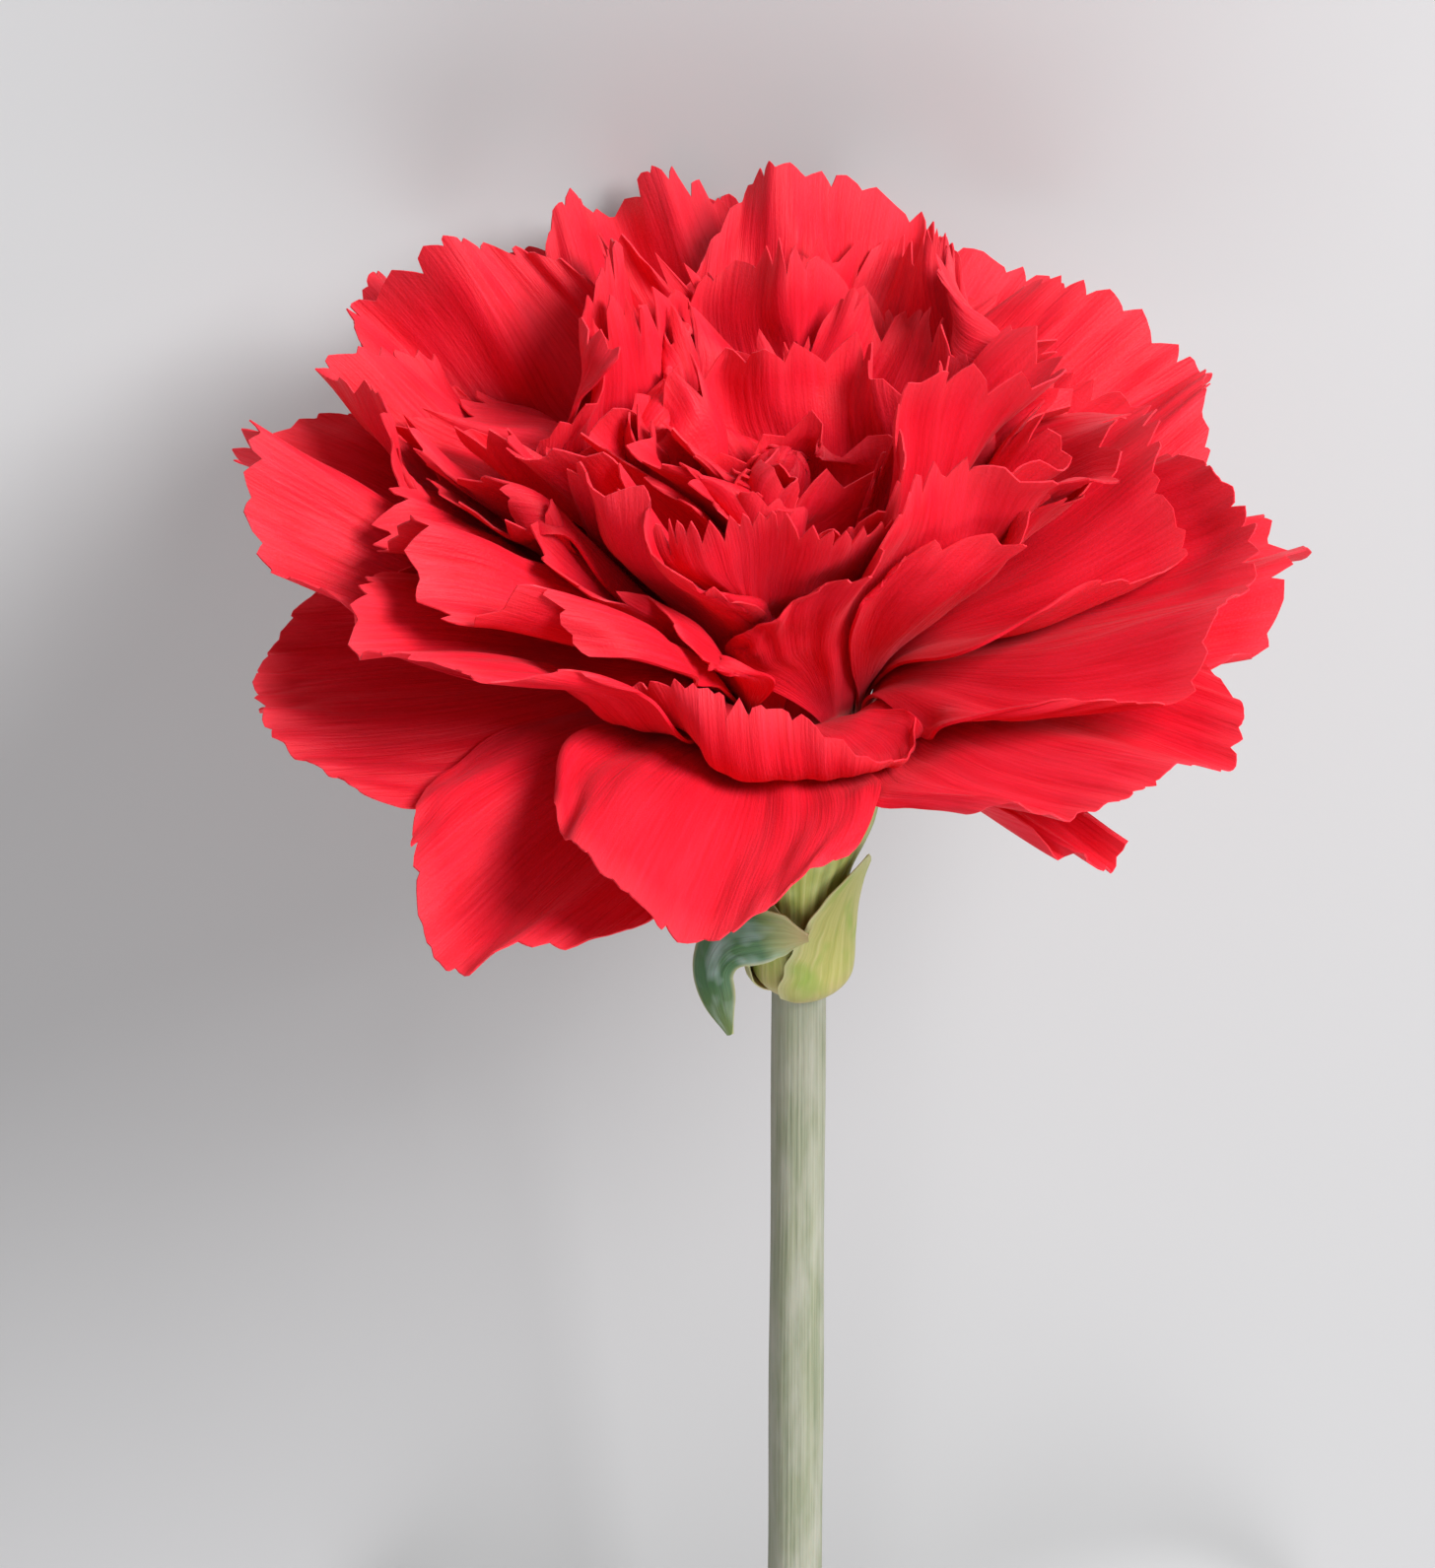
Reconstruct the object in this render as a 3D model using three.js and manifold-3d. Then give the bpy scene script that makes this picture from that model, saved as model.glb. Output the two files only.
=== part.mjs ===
// A cut carnation lying on a table: stem, calyx, bracts, two leaves, pistil and petals, each its own solid.
// Millimetres. The flower is modelled upright about its own axis, with z = 0 at the mouth of the calyx, +Z towards
// the face of the flower and -Y towards the viewer. The last group lays it down: the petals at +Y touch the table,
// which is the plane Z = 0 of the exported group, and the origin is at the middle of the object's footprint.
import * as THREE from "three";
import { mergeVertices } from "three/addons/utils/BufferGeometryUtils.js";
import Module from "manifold-3d";

const wasm = await Module();
wasm.setup();

// ---- driving dimensions ----
const GAP = 0.2; // clearance between pieces that touch on the real flower
const STEM_LENGTH = 140; // from the base of the calyx to the cut end
const STEM_TOP_RADIUS = 1.9;
const STEM_END_RADIUS = 2.2;
const STEM_SIDES = 14;
const NODE_DEPTH = 95; // the leaf-bearing joint, below the base of the calyx
const NODE_SWELL = 0.9; // how far the joint stands out of the stem
const NODE_HALF_LENGTH = 3.2;

const CALYX_LENGTH = 22;
const CALYX_MOUTH_RADIUS = 6.0;
const CALYX_BASE_RADIUS = 2.6;
const CALYX_WALL = 0.4;
const CALYX_TEETH = 5;
const TOOTH_HEIGHT = 3.6;

const CLAW_LENGTH = 8; // the narrow foot of a petal, inside the calyx
const CLAW_WIDTH = 1.0;
const CLAW_INNER_RADIUS = 2.2; // of the innermost petal's foot at the mouth
const CLAW_TAPER = 0.15; // how much closer together the feet stand at their lower end
const PETAL_THICKNESS = 0.2;
const BEND_LENGTH = 15; // the stretch above the mouth in which a petal leans out
const INNER_LEAN = 9; // degrees from the axis, innermost petal
const SIDE_LEAN = 84; // outermost petals at the sides
const FRONT_DROOP = 24; // how much further the outermost petals lean at the front
const BACK_LIFT = 17; // how much less they lean at the back
const LEAN_POWER = 1.05;
const FRONT_HOLD = 3; // how much longer the inner petals at the front stay upright
const EVEN_SHARE = 0.25; // the part of the lean that grows evenly from the centre outwards
const SWAY = 0.12; // sideways shift of the head for each millimetre above the mouth

const BRACT_THICKNESS = 0.35;
const LEAF_LENGTH_STEPS = 12;
const LEAF_WIDTH = 5.2;
const LEAF_THICKNESS = 0.7;
const LEAF_CHANNEL = 0.9; // depth of the groove along the leaf

const OVARY_RADIUS = 1.25;
const OVARY_LENGTH = 9;
const STYLE_RADIUS = 0.35;
const STYLE_HEIGHT = 15; // above the mouth

const LYING_TILT = THREE.MathUtils.degToRad(8); // the flower's axis above the table
const PRESS_DEPTH = 2.4; // how far the head sinks into its lowest petals
const PRESS_ZONE = 9; // height above the table in which they give way

// Outer petals by hand, from the outermost in: [azimuth in degrees from +X, length above the mouth, width].
const GUARD_PETALS = [
  [316, 29, 12], [198, 38, 27], [92, 41, 32], [4, 37, 27], [235, 39, 25], [57, 39, 30],
  [286, 18, 16], [132, 42, 28], [320, 38, 33], [257, 37, 27], [106, 41, 26], [35, 39, 36],
  [181, 42, 27], [343, 38, 34], [78, 40, 27], [214, 36, 28], [144, 40, 25], [6, 34, 30],
  [266, 26, 28], [166, 38, 25],
];
// The rest follow the golden angle, shrinking towards the centre.
const INNER_PETALS = 30;
const FIRST_INNER_AZIMUTH = 66;
const GOLDEN_ANGLE = 137.508;
const INNER_LENGTH = [25, 36]; // innermost, outermost
const INNER_WIDTH = [15, 28];
// Inner petals that stand elsewhere or differ in size: [number, azimuth, length, width].
const MOVED_PETALS = [
  [23, 352, 31, 24], [25, 219, 27, 20], [28, 314, 30, 28],
  [30, 236, 28, 15], [33, 277, 29, 34], [36, 322, 29, 26],
];

const PETAL_COUNT = GUARD_PETALS.length + INNER_PETALS;
const CLAW_OUTER_RADIUS = CALYX_MOUTH_RADIUS - CALYX_WALL - GAP - PETAL_THICKNESS / 2;

// ---- materials ----
const material = (color, roughness) => new THREE.MeshStandardMaterial({ color, roughness, metalness: 0 });
const PETAL_RED = material(0xd8121f, 0.62);
const STEM_GREEN = material(0x8d9a80, 0.6);
const CALYX_GREEN = material(0x9aa052, 0.55);
const BRACT_GREEN = material(0x55743f, 0.55);
const LEAF_GREEN = material(0x6f8a72, 0.6);
const PISTIL_WHITE = material(0xf3dfe0, 0.5);

// ---- helpers ----
const { lerp, clamp, smoothstep, degToRad } = THREE.MathUtils;

// A value read off a short list of [position, value] pairs, straight between them.
function readOff(list, at) {
  if (at <= list[0][0]) return list[0][1];
  for (let i = 1; i < list.length; i++) {
    const [from, low] = list[i - 1];
    const [to, high] = list[i];
    if (at <= to) return lerp(low, high, (at - from) / (to - from));
  }
  return list[list.length - 1][1];
}

// Moves every vertex of a geometry to place(x, y, z).
function reshape(geometry, place) {
  const position = geometry.getAttribute("position");
  for (let i = 0; i < position.count; i++) {
    const p = place(position.getX(i), position.getY(i), position.getZ(i));
    position.setXYZ(i, p.x, p.y, p.z);
  }
  geometry.deleteAttribute("normal");
  geometry.deleteAttribute("uv");
  const merged = mergeVertices(geometry, 1e-4);
  merged.computeVertexNormals();
  return merged;
}

// A thin closed sheet: place(u, row, side) with u from -1 to 1, row from 0 to rows and side -1 or 1.
function sheet(across, rows, place) {
  const box = new THREE.BoxGeometry(2, rows, 2, across, rows, 1);
  return reshape(box, (x, y, z) => place(x, Math.round(y + rows / 2), z));
}

// ---- the petals' shared form ----
// Petals lie on nested shells, numbered by rank from 0 at the centre to 1 outside. A shell starts as a cylinder in
// the calyx and opens above the mouth. Shells never cross, whatever the sizes, so petals of different rank don't.
function clawRadius(rank) {
  return Math.sqrt(lerp(CLAW_INNER_RADIUS ** 2, CLAW_OUTER_RADIUS ** 2, rank));
}

function endLean(rank, azimuth) {
  const front = Math.max(-Math.sin(azimuth), 0);
  const back = Math.max(Math.sin(azimuth), 0);
  const outermost = SIDE_LEAN + FRONT_DROOP * front - BACK_LIFT * back;
  const power = LEAN_POWER + FRONT_HOLD * front * (1 - rank);
  const share = lerp(rank ** power, rank, EVEN_SHARE);
  return degToRad(lerp(INNER_LEAN, outermost, share));
}

// Radius, height and lean of a shell at a distance along it from the mouth.
function shellPoint(rank, azimuth, distance) {
  const start = clawRadius(rank);
  if (distance <= 0) {
    return { radius: start * (1 + (CLAW_TAPER * distance) / CLAW_LENGTH), height: distance, lean: 0 };
  }
  const last = endLean(rank, azimuth);
  const leanAt = (t) => last * (1 - (1 - clamp(t / BEND_LENGTH, 0, 1)) ** 2);
  const steps = 40;
  let radius = start;
  let height = 0;
  for (let i = 0; i < steps; i++) {
    const lean = leanAt(((i + 0.5) / steps) * distance);
    radius += (Math.sin(lean) * distance) / steps;
    height += (Math.cos(lean) * distance) / steps;
  }
  return { radius, height, lean: leanAt(distance) };
}

// ---- petals ----
const PETAL_ACROSS = 8;
const BEND_KNOTS = [0, 2.5, 6, 11, 17]; // shared by all petals, so that their facets nest
const OUTER_KNOTS = [0.5, 1]; // from the last of those to the margin
const WIDEST_AT = 0.72; // share of the length
const SPREAD_POWER = 1.8; // how late a petal widens above its claw
const CORNER_ROUNDING = 0.3; // how much shorter a petal is at its side edges
const WIDEST_HALF_ANGLE = 0.8; // radians about the axis

function petalGeometry({ azimuth, rank, length, width }) {
  const rows = BEND_KNOTS.length + OUTER_KNOTS.length;
  return sheet(PETAL_ACROSS, rows, (u, row, side) => {
    const lastKnot = BEND_KNOTS[BEND_KNOTS.length - 1];
    let distance = -CLAW_LENGTH;
    if (row > BEND_KNOTS.length) {
      const margin = length * (1 - CORNER_ROUNDING * u * u);
      distance = lerp(lastKnot, Math.max(margin, lastKnot + 2), OUTER_KNOTS[row - BEND_KNOTS.length - 1]);
    } else if (row > 0) {
      distance = BEND_KNOTS[row - 1];
    }
    const spread = Math.sin((Math.PI / 2) * clamp(distance / (WIDEST_AT * length), 0, 1) ** SPREAD_POWER);
    const halfWidth = lerp(CLAW_WIDTH / 2, width / 2, spread);
    const middle = shellPoint(rank, azimuth, distance);
    const angle = azimuth + u * Math.min(halfWidth / middle.radius, WIDEST_HALF_ANGLE);
    const { radius, height, lean } = shellPoint(rank, angle, distance);
    const outward = (side * PETAL_THICKNESS) / 2;
    const r = radius + outward * Math.cos(lean);
    const z = height - outward * Math.sin(lean);
    return new THREE.Vector3(r * Math.cos(angle) - SWAY * Math.max(z, 0), r * Math.sin(angle), z);
  });
}

function petalList() {
  const petals = GUARD_PETALS.map(([azimuth, length, width]) => ({ azimuth, length, width }));
  for (let i = 0; i < INNER_PETALS; i++) {
    const share = 1 - i / (INNER_PETALS - 1);
    petals.push({
      azimuth: (FIRST_INNER_AZIMUTH + i * GOLDEN_ANGLE) % 360,
      length: lerp(INNER_LENGTH[0], INNER_LENGTH[1], share),
      width: lerp(INNER_WIDTH[0], INNER_WIDTH[1], share),
    });
  }
  for (const [number, azimuth, length, width] of MOVED_PETALS) petals[number - 1] = { azimuth, length, width };
  return petals.map((petal, i) => ({
    ...petal,
    azimuth: degToRad(petal.azimuth),
    rank: 1 - i / (PETAL_COUNT - 1),
    name: `petal_${String(i + 1).padStart(2, "0")}`,
  }));
}

// ---- calyx and bracts ----
// Outer radius of the calyx by height, as shares of its length and of the step from its base to its mouth.
const CALYX_OUTLINE = [
  [0, 0], [0.06, 0.06], [0.2, 0.1], [0.34, 0.17], [0.47, 0.34], [0.58, 0.62], [0.66, 0.8], [0.78, 0.93], [1, 1],
];

function calyxRadius(height) {
  const share = readOff(CALYX_OUTLINE, (height + CALYX_LENGTH) / CALYX_LENGTH);
  return lerp(CALYX_BASE_RADIUS, CALYX_MOUTH_RADIUS, share);
}

function calyxGeometry() {
  const outer = CALYX_OUTLINE.map(([share]) => {
    const height = -CALYX_LENGTH * (1 - share);
    return new THREE.Vector2(calyxRadius(height), height);
  });
  const hole = STEM_TOP_RADIUS + GAP;
  const inner = [...outer].reverse().map((p) => {
    return new THREE.Vector2(Math.max(p.x - CALYX_WALL, hole), p.y);
  });
  inner[inner.length - 1].y += 0.01;
  const profile = [...outer, ...inner, outer[0].clone()];
  const lathe = new THREE.LatheGeometry(profile, CALYX_TEETH * 8);
  return reshape(lathe, (x, y, z) => {
    const azimuth = Math.atan2(-z, x);
    const phase = Math.abs((((azimuth / (2 * Math.PI)) * CALYX_TEETH + 10) % 1) - 0.5) * 2;
    const valley = y > -TOOTH_HEIGHT ? TOOTH_HEIGHT * (1 - phase) : 0;
    return new THREE.Vector3(x, -z, y - valley);
  });
}

// A bract hugs the calyx from its base: half its angle, its height, how far out it lies and where it points.
const BRACTS = [
  { name: "bract_inner_left", azimuth: 232, half: 58, height: 9.5, layer: 0 },
  { name: "bract_inner_right", azimuth: 52, half: 58, height: 9.5, layer: 0 },
  { name: "bract_outer_front", azimuth: 322, half: 76, height: 13, layer: 1 },
  { name: "bract_outer_back", azimuth: 142, half: 68, height: 11.5, layer: 1 },
];
const BRACT_ROWS = 8;
const BRACT_ACROSS = 8;
const BRACT_TAPER = 1.6;

function bractGeometry({ azimuth, half, height, layer }) {
  return sheet(BRACT_ACROSS, BRACT_ROWS, (u, row, side) => {
    const share = row / BRACT_ROWS;
    const z = -CALYX_LENGTH + 0.4 + share * height;
    const taper = Math.max(1 - share ** BRACT_TAPER, 0.05);
    const angle = degToRad(azimuth + u * half * taper);
    const inside = calyxRadius(z) + GAP + layer * (BRACT_THICKNESS + GAP);
    const r = inside + (BRACT_THICKNESS * (side + 1)) / 2;
    return new THREE.Vector3(r * Math.cos(angle), r * Math.sin(angle), z);
  });
}

// The bract that has peeled away: it wraps the front of the calyx, leaves it on the left and hangs with its tip
// down. Each row is a point of its middle line from the calyx's base, the azimuth it faces and half its width.
const CURLED_BRACT = [
  [[0.6, -4.75, 7], 276, 1.3],
  [[-2.4, -4.6, 6.9], 244, 2.2],
  [[-4.9, -3.9, 5.7], 226, 2.6],
  [[-6.1, -3.6, 3.2], 236, 2.0],
  [[-5.8, -3.8, 0.6], 248, 1.3],
  [[-4.9, -4.0, -2.0], 256, 0.25],
];
const CURL_HOLLOW = 0.5;

function curledBractGeometry() {
  const middle = CURLED_BRACT.map(([[x, y, height]]) => new THREE.Vector3(x, y, height - CALYX_LENGTH));
  const line = new THREE.CatmullRomCurve3(middle);
  const rows = 10;
  return sheet(4, rows, (u, row, side) => {
    const share = row / rows;
    const knot = share * (CURLED_BRACT.length - 1);
    const low = Math.min(Math.floor(knot), CURLED_BRACT.length - 2);
    const facing = degToRad(lerp(CURLED_BRACT[low][1], CURLED_BRACT[low + 1][1], knot - low));
    const half = lerp(CURLED_BRACT[low][2], CURLED_BRACT[low + 1][2], knot - low);
    const ahead = line.getTangent(share);
    const outward = new THREE.Vector3(Math.cos(facing), Math.sin(facing), 0);
    const across = ahead.clone().cross(outward).normalize();
    const normal = across.clone().cross(ahead);
    const shift = (side * BRACT_THICKNESS) / 2 - CURL_HOLLOW * u * u * Math.sin(Math.PI * share);
    return line.getPoint(share).addScaledVector(across, u * half).addScaledVector(normal, shift);
  });
}

// ---- stem, receptacle, pistil, leaves ----
function pistilGeometry() {
  const foot = -CLAW_LENGTH;
  const ovary = new THREE.LatheGeometry(
    [
      new THREE.Vector2(0, 0), new THREE.Vector2(0.7 * OVARY_RADIUS, 0),
      new THREE.Vector2(OVARY_RADIUS, 0.3 * OVARY_LENGTH), new THREE.Vector2(0.9 * OVARY_RADIUS, 0.7 * OVARY_LENGTH),
      new THREE.Vector2(0.4 * OVARY_RADIUS, OVARY_LENGTH), new THREE.Vector2(0, OVARY_LENGTH),
    ],
    12,
  );
  let whole = toSolid(reshape(ovary, (x, y, z) => new THREE.Vector3(x, -z, y + foot)));
  for (const way of [-1, 1]) {
    const rod = new THREE.CylinderGeometry(1, 1, 1, 6, 6);
    const from = foot + OVARY_LENGTH - 1;
    const style = reshape(rod, (x, y, z) => {
      const share = y + 0.5;
      const lean = way * (0.25 + 0.9 * share ** 2.5);
      return new THREE.Vector3(lean + x * STYLE_RADIUS, -z * STYLE_RADIUS, lerp(from, STYLE_HEIGHT, share));
    });
    whole = whole.add(toSolid(style));
  }
  return fromSolid(whole);
}

function toSolid(geometry) {
  return new wasm.Manifold(
    new wasm.Mesh({
      numProp: 3,
      vertProperties: new Float32Array(geometry.getAttribute("position").array),
      triVerts: new Uint32Array(geometry.index.array),
    }),
  );
}

function fromSolid(solid) {
  const made = solid.getMesh();
  const geometry = new THREE.BufferGeometry();
  geometry.setAttribute("position", new THREE.BufferAttribute(made.vertProperties, 3));
  geometry.setIndex(new THREE.BufferAttribute(made.triVerts, 1));
  geometry.computeVertexNormals();
  return geometry;
}

// The stem bows towards the table, so that its cut end comes to rest on it.
function stemCentre(depth, bow) {
  const share = Math.max(depth / STEM_LENGTH, 0);
  return new THREE.Vector3(0, bow * share ** 2, -CALYX_LENGTH - depth);
}

function stemRadius(depth) {
  const plain = lerp(STEM_TOP_RADIUS, STEM_END_RADIUS, clamp(depth / STEM_LENGTH, 0, 1));
  const swell = NODE_SWELL * Math.exp(-(((depth - NODE_DEPTH) / NODE_HALF_LENGTH) ** 2));
  return plain + swell;
}

// The receptacle is the stem's widened top inside the calyx, [depth, radius]; depth is negative above the base.
const RECEPTACLE_TOP = CALYX_LENGTH - CLAW_LENGTH - GAP;
const RECEPTACLE = [
  [-RECEPTACLE_TOP, 0.62], [-0.6 * RECEPTACLE_TOP, 0.85], [-0.3 * RECEPTACLE_TOP, 0.8],
];
const STEM_STOPS = [
  0, 10, 25, 40, 55, 70, 85, NODE_DEPTH - 5, NODE_DEPTH - 2.5, NODE_DEPTH, NODE_DEPTH + 2.5, NODE_DEPTH + 5,
  112, 126, STEM_LENGTH,
];

function stemGeometry(bow) {
  const stops = [...RECEPTACLE.map(([depth]) => depth), -1.2, ...STEM_STOPS];
  const segments = stops.length - 1;
  const rod = new THREE.CylinderGeometry(1, 1, segments, STEM_SIDES, segments);
  return reshape(rod, (x, y, z) => {
    const i = Math.round(segments / 2 - y);
    const depth = stops[i];
    let radius = stemRadius(depth);
    if (i < RECEPTACLE.length) {
      radius = RECEPTACLE[i][1] * (calyxRadius(-CALYX_LENGTH - depth) - CALYX_WALL - GAP);
    }
    const centre = stemCentre(depth, bow);
    return new THREE.Vector3(centre.x + x * radius, centre.y - z * radius, centre.z);
  });
}

// A leaf leaves the joint towards the flower, arches out to one side and comes down with its tip on the table.
function leafGeometry(way, bow, tableAt) {
  const joint = stemCentre(NODE_DEPTH, bow);
  const root = stemRadius(NODE_DEPTH) + 1.5 * GAP + LEAF_THICKNESS;
  const reach = way > 0 ? 1 : 0.88;
  const tip = new THREE.Vector3(way * 41 * reach, 0, joint.z + 20 * reach);
  tip.y = tableAt(tip.z) - LEAF_THICKNESS * 0.5 - 0.25;
  const path = new THREE.CatmullRomCurve3([
    new THREE.Vector3(way * root, joint.y, joint.z + 1),
    new THREE.Vector3(way * (root + 4), joint.y - 1.5, joint.z + 12),
    new THREE.Vector3(way * 18 * reach, joint.y - 2.5, joint.z + 23 * reach),
    new THREE.Vector3(way * 31 * reach, lerp(joint.y, tip.y, 0.5), joint.z + 26 * reach),
    tip,
  ]);
  return sheet(4, LEAF_LENGTH_STEPS, (u, row, side) => {
    const share = row / LEAF_LENGTH_STEPS;
    const centre = path.getPoint(share);
    const ahead = path.getTangent(share);
    const across = new THREE.Vector3(0, 1, 0).cross(ahead).normalize();
    const up = across.clone().cross(ahead);
    const half = (LEAF_WIDTH / 2) * Math.max(Math.min(0.55 + share * 1.6, 1) * (1 - share ** 3), 0.12);
    const groove = LEAF_CHANNEL * (1 - share) * u * u;
    return centre
      .clone()
      .addScaledVector(across, u * half)
      .addScaledVector(up, (side * LEAF_THICKNESS) / 2 + groove);
  });
}

// ---- assembly ----
// Height over the table of a point of the upright flower, before the head is set down.
const dropOf = (p) => Math.sin(LYING_TILT) * p.z - Math.cos(LYING_TILT) * p.y;

function lowest(geometry) {
  const position = geometry.getAttribute("position");
  const p = new THREE.Vector3();
  let low = Infinity;
  for (let i = 0; i < position.count; i++) low = Math.min(low, dropOf(p.fromBufferAttribute(position, i)));
  return low;
}

// Presses the petals onto the table: heights under PRESS_ZONE are drawn together, and nothing crosses.
function pressed(geometry, tableDrop) {
  const downwards = new THREE.Vector3(0, Math.cos(LYING_TILT), -Math.sin(LYING_TILT));
  return reshape(geometry, (x, y, z) => {
    const p = new THREE.Vector3(x, y, z);
    const height = dropOf(p) - tableDrop;
    if (height >= PRESS_ZONE) return p;
    const share = (PRESS_ZONE - height) / (PRESS_ZONE + PRESS_DEPTH);
    return p.addScaledVector(downwards, -PRESS_DEPTH * share ** 2);
  });
}

const flower = new THREE.Group();
const add = (name, geometry, look) => {
  const mesh = new THREE.Mesh(geometry, look);
  mesh.name = name;
  flower.add(mesh);
};

const petals = petalList().map((petal) => ({ name: petal.name, geometry: petalGeometry(petal) }));
const tableDrop = Math.min(...petals.map((petal) => lowest(petal.geometry))) + PRESS_DEPTH;
for (const petal of petals) add(petal.name, pressed(petal.geometry, tableDrop), PETAL_RED);

const endOfStem = new THREE.Vector3(0, 0, -CALYX_LENGTH - STEM_LENGTH);
const bow = (dropOf(endOfStem) - tableDrop - STEM_END_RADIUS) / Math.cos(LYING_TILT);
const tableAt = (z) => (Math.sin(LYING_TILT) * z - tableDrop) / Math.cos(LYING_TILT);
add("stem", stemGeometry(bow), STEM_GREEN);
add("calyx", calyxGeometry(), CALYX_GREEN);
for (const bract of BRACTS) add(bract.name, bractGeometry(bract), BRACT_GREEN);
add("bract_curled", curledBractGeometry(), BRACT_GREEN);
add("pistil", pistilGeometry(), PISTIL_WHITE);
add("leaf_left", leafGeometry(-1, bow, tableAt), LEAF_GREEN);
add("leaf_right", leafGeometry(1, bow, tableAt), LEAF_GREEN);

// Laying the flower down turns its axis to +Y and its front to +Z.
flower.rotation.x = LYING_TILT - Math.PI / 2;
flower.updateMatrixWorld(true);
const box = new THREE.Box3().setFromObject(flower, true);
flower.position.set(-(box.min.x + box.max.x) / 2, -(box.min.y + box.max.y) / 2, -box.min.z);

const carnation = new THREE.Group();
carnation.add(flower);
export default carnation;
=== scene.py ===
"""A cut double carnation lying on a pale surface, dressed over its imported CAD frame.

Lengths are in millimetres until a mesh is made. The flower is worked out in its own upright frame, as in
the part's source: z = 0 at the mouth of the calyx, +Z towards the face of the flower, -Y its front. TO_ROW
lays it down into the row's frame, in metres.
"""
import math

import bpy
import numpy as np
from mathutils import Matrix, Vector


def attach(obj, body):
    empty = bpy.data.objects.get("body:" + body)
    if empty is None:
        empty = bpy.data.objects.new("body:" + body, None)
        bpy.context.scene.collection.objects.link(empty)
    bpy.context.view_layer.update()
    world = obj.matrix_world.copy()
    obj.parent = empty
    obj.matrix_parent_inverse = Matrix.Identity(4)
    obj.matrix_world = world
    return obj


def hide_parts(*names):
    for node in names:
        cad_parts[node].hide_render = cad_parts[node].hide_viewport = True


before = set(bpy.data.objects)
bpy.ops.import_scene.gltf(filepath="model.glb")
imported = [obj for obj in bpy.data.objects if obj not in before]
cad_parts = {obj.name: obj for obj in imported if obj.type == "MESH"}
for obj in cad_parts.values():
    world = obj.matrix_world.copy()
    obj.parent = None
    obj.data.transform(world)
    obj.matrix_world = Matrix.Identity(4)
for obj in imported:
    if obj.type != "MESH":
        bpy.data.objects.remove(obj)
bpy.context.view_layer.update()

MM = 0.001
TAU = 2 * math.pi

# ---- the frame's measures, as in the CAD ----
LYING_TILT = math.radians(8)

STEM_LENGTH = 140.0
STEM_TOP_RADIUS = 1.9
STEM_END_RADIUS = 2.2
NODE_DEPTH = 95.0
NODE_SWELL = 0.9
NODE_HALF_LENGTH = 3.2
CALYX_LENGTH = 22.0
CALYX_MOUTH_RADIUS = 6.0
CALYX_BASE_RADIUS = 2.6
CALYX_WALL = 0.4
CALYX_TEETH = 5
TOOTH_HEIGHT = 3.6
FOOT_HEIGHT = 1.5  # over which the calyx and bracts close onto the stem
GAP = 0.2
CLAW_LENGTH = 8.0
CLAW_WIDTH = 1.0
CLAW_INNER_RADIUS = 2.2
CLAW_OUTER_RADIUS = 5.2
CLAW_TAPER = 0.15
BEND_LENGTH = 15.0
INNER_LEAN = 9.0
SIDE_LEAN = 84.0
FRONT_DROOP = 24.0
BACK_LIFT = 17.0
LEAN_POWER = 1.05
FRONT_HOLD = 3.0
EVEN_SHARE = 0.25
SWAY = 0.12
WIDEST_AT = 0.72
SPREAD_POWER = 1.6
WIDEST_HALF_ANGLE = 1.15
GOLDEN_ANGLE = 137.508
TABLE_CLEARANCE = 0.12

TO_ROW = np.array([
    [1.0, 0.0, 0.0],
    [0.0, math.sin(LYING_TILT), math.cos(LYING_TILT)],
    [0.0, -math.cos(LYING_TILT), math.sin(LYING_TILT)],
])
MOUTH = np.array([0.160, 63.697, 32.676])  # the calyx's mouth in the row's frame


def to_row(points):
    """Flower frame in millimetres to the row's frame in metres."""
    return (np.asarray(points) @ TO_ROW.T + MOUTH) * MM


# ---- petals: what each one is ----
# Outer petals, listed outermost first: azimuth, length, width.
GUARD_PETALS = [
    (316, 29, 12), (198, 38, 27), (92, 41, 32), (4, 37, 27), (235, 39, 25), (57, 39, 30),
    (286, 18, 16), (132, 42, 28), (320, 38, 33), (262, 37, 30), (106, 41, 26), (35, 39, 36),
    (181, 42, 27), (343, 38, 34), (78, 40, 27), (214, 36, 28), (144, 40, 25), (6, 34, 30),
    (266, 26, 28), (166, 38, 25),
]
INNER_PETALS = 30
FIRST_INNER_AZIMUTH = 66
INNER_LENGTH = (25, 36)
INNER_WIDTH = (15, 28)

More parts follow.
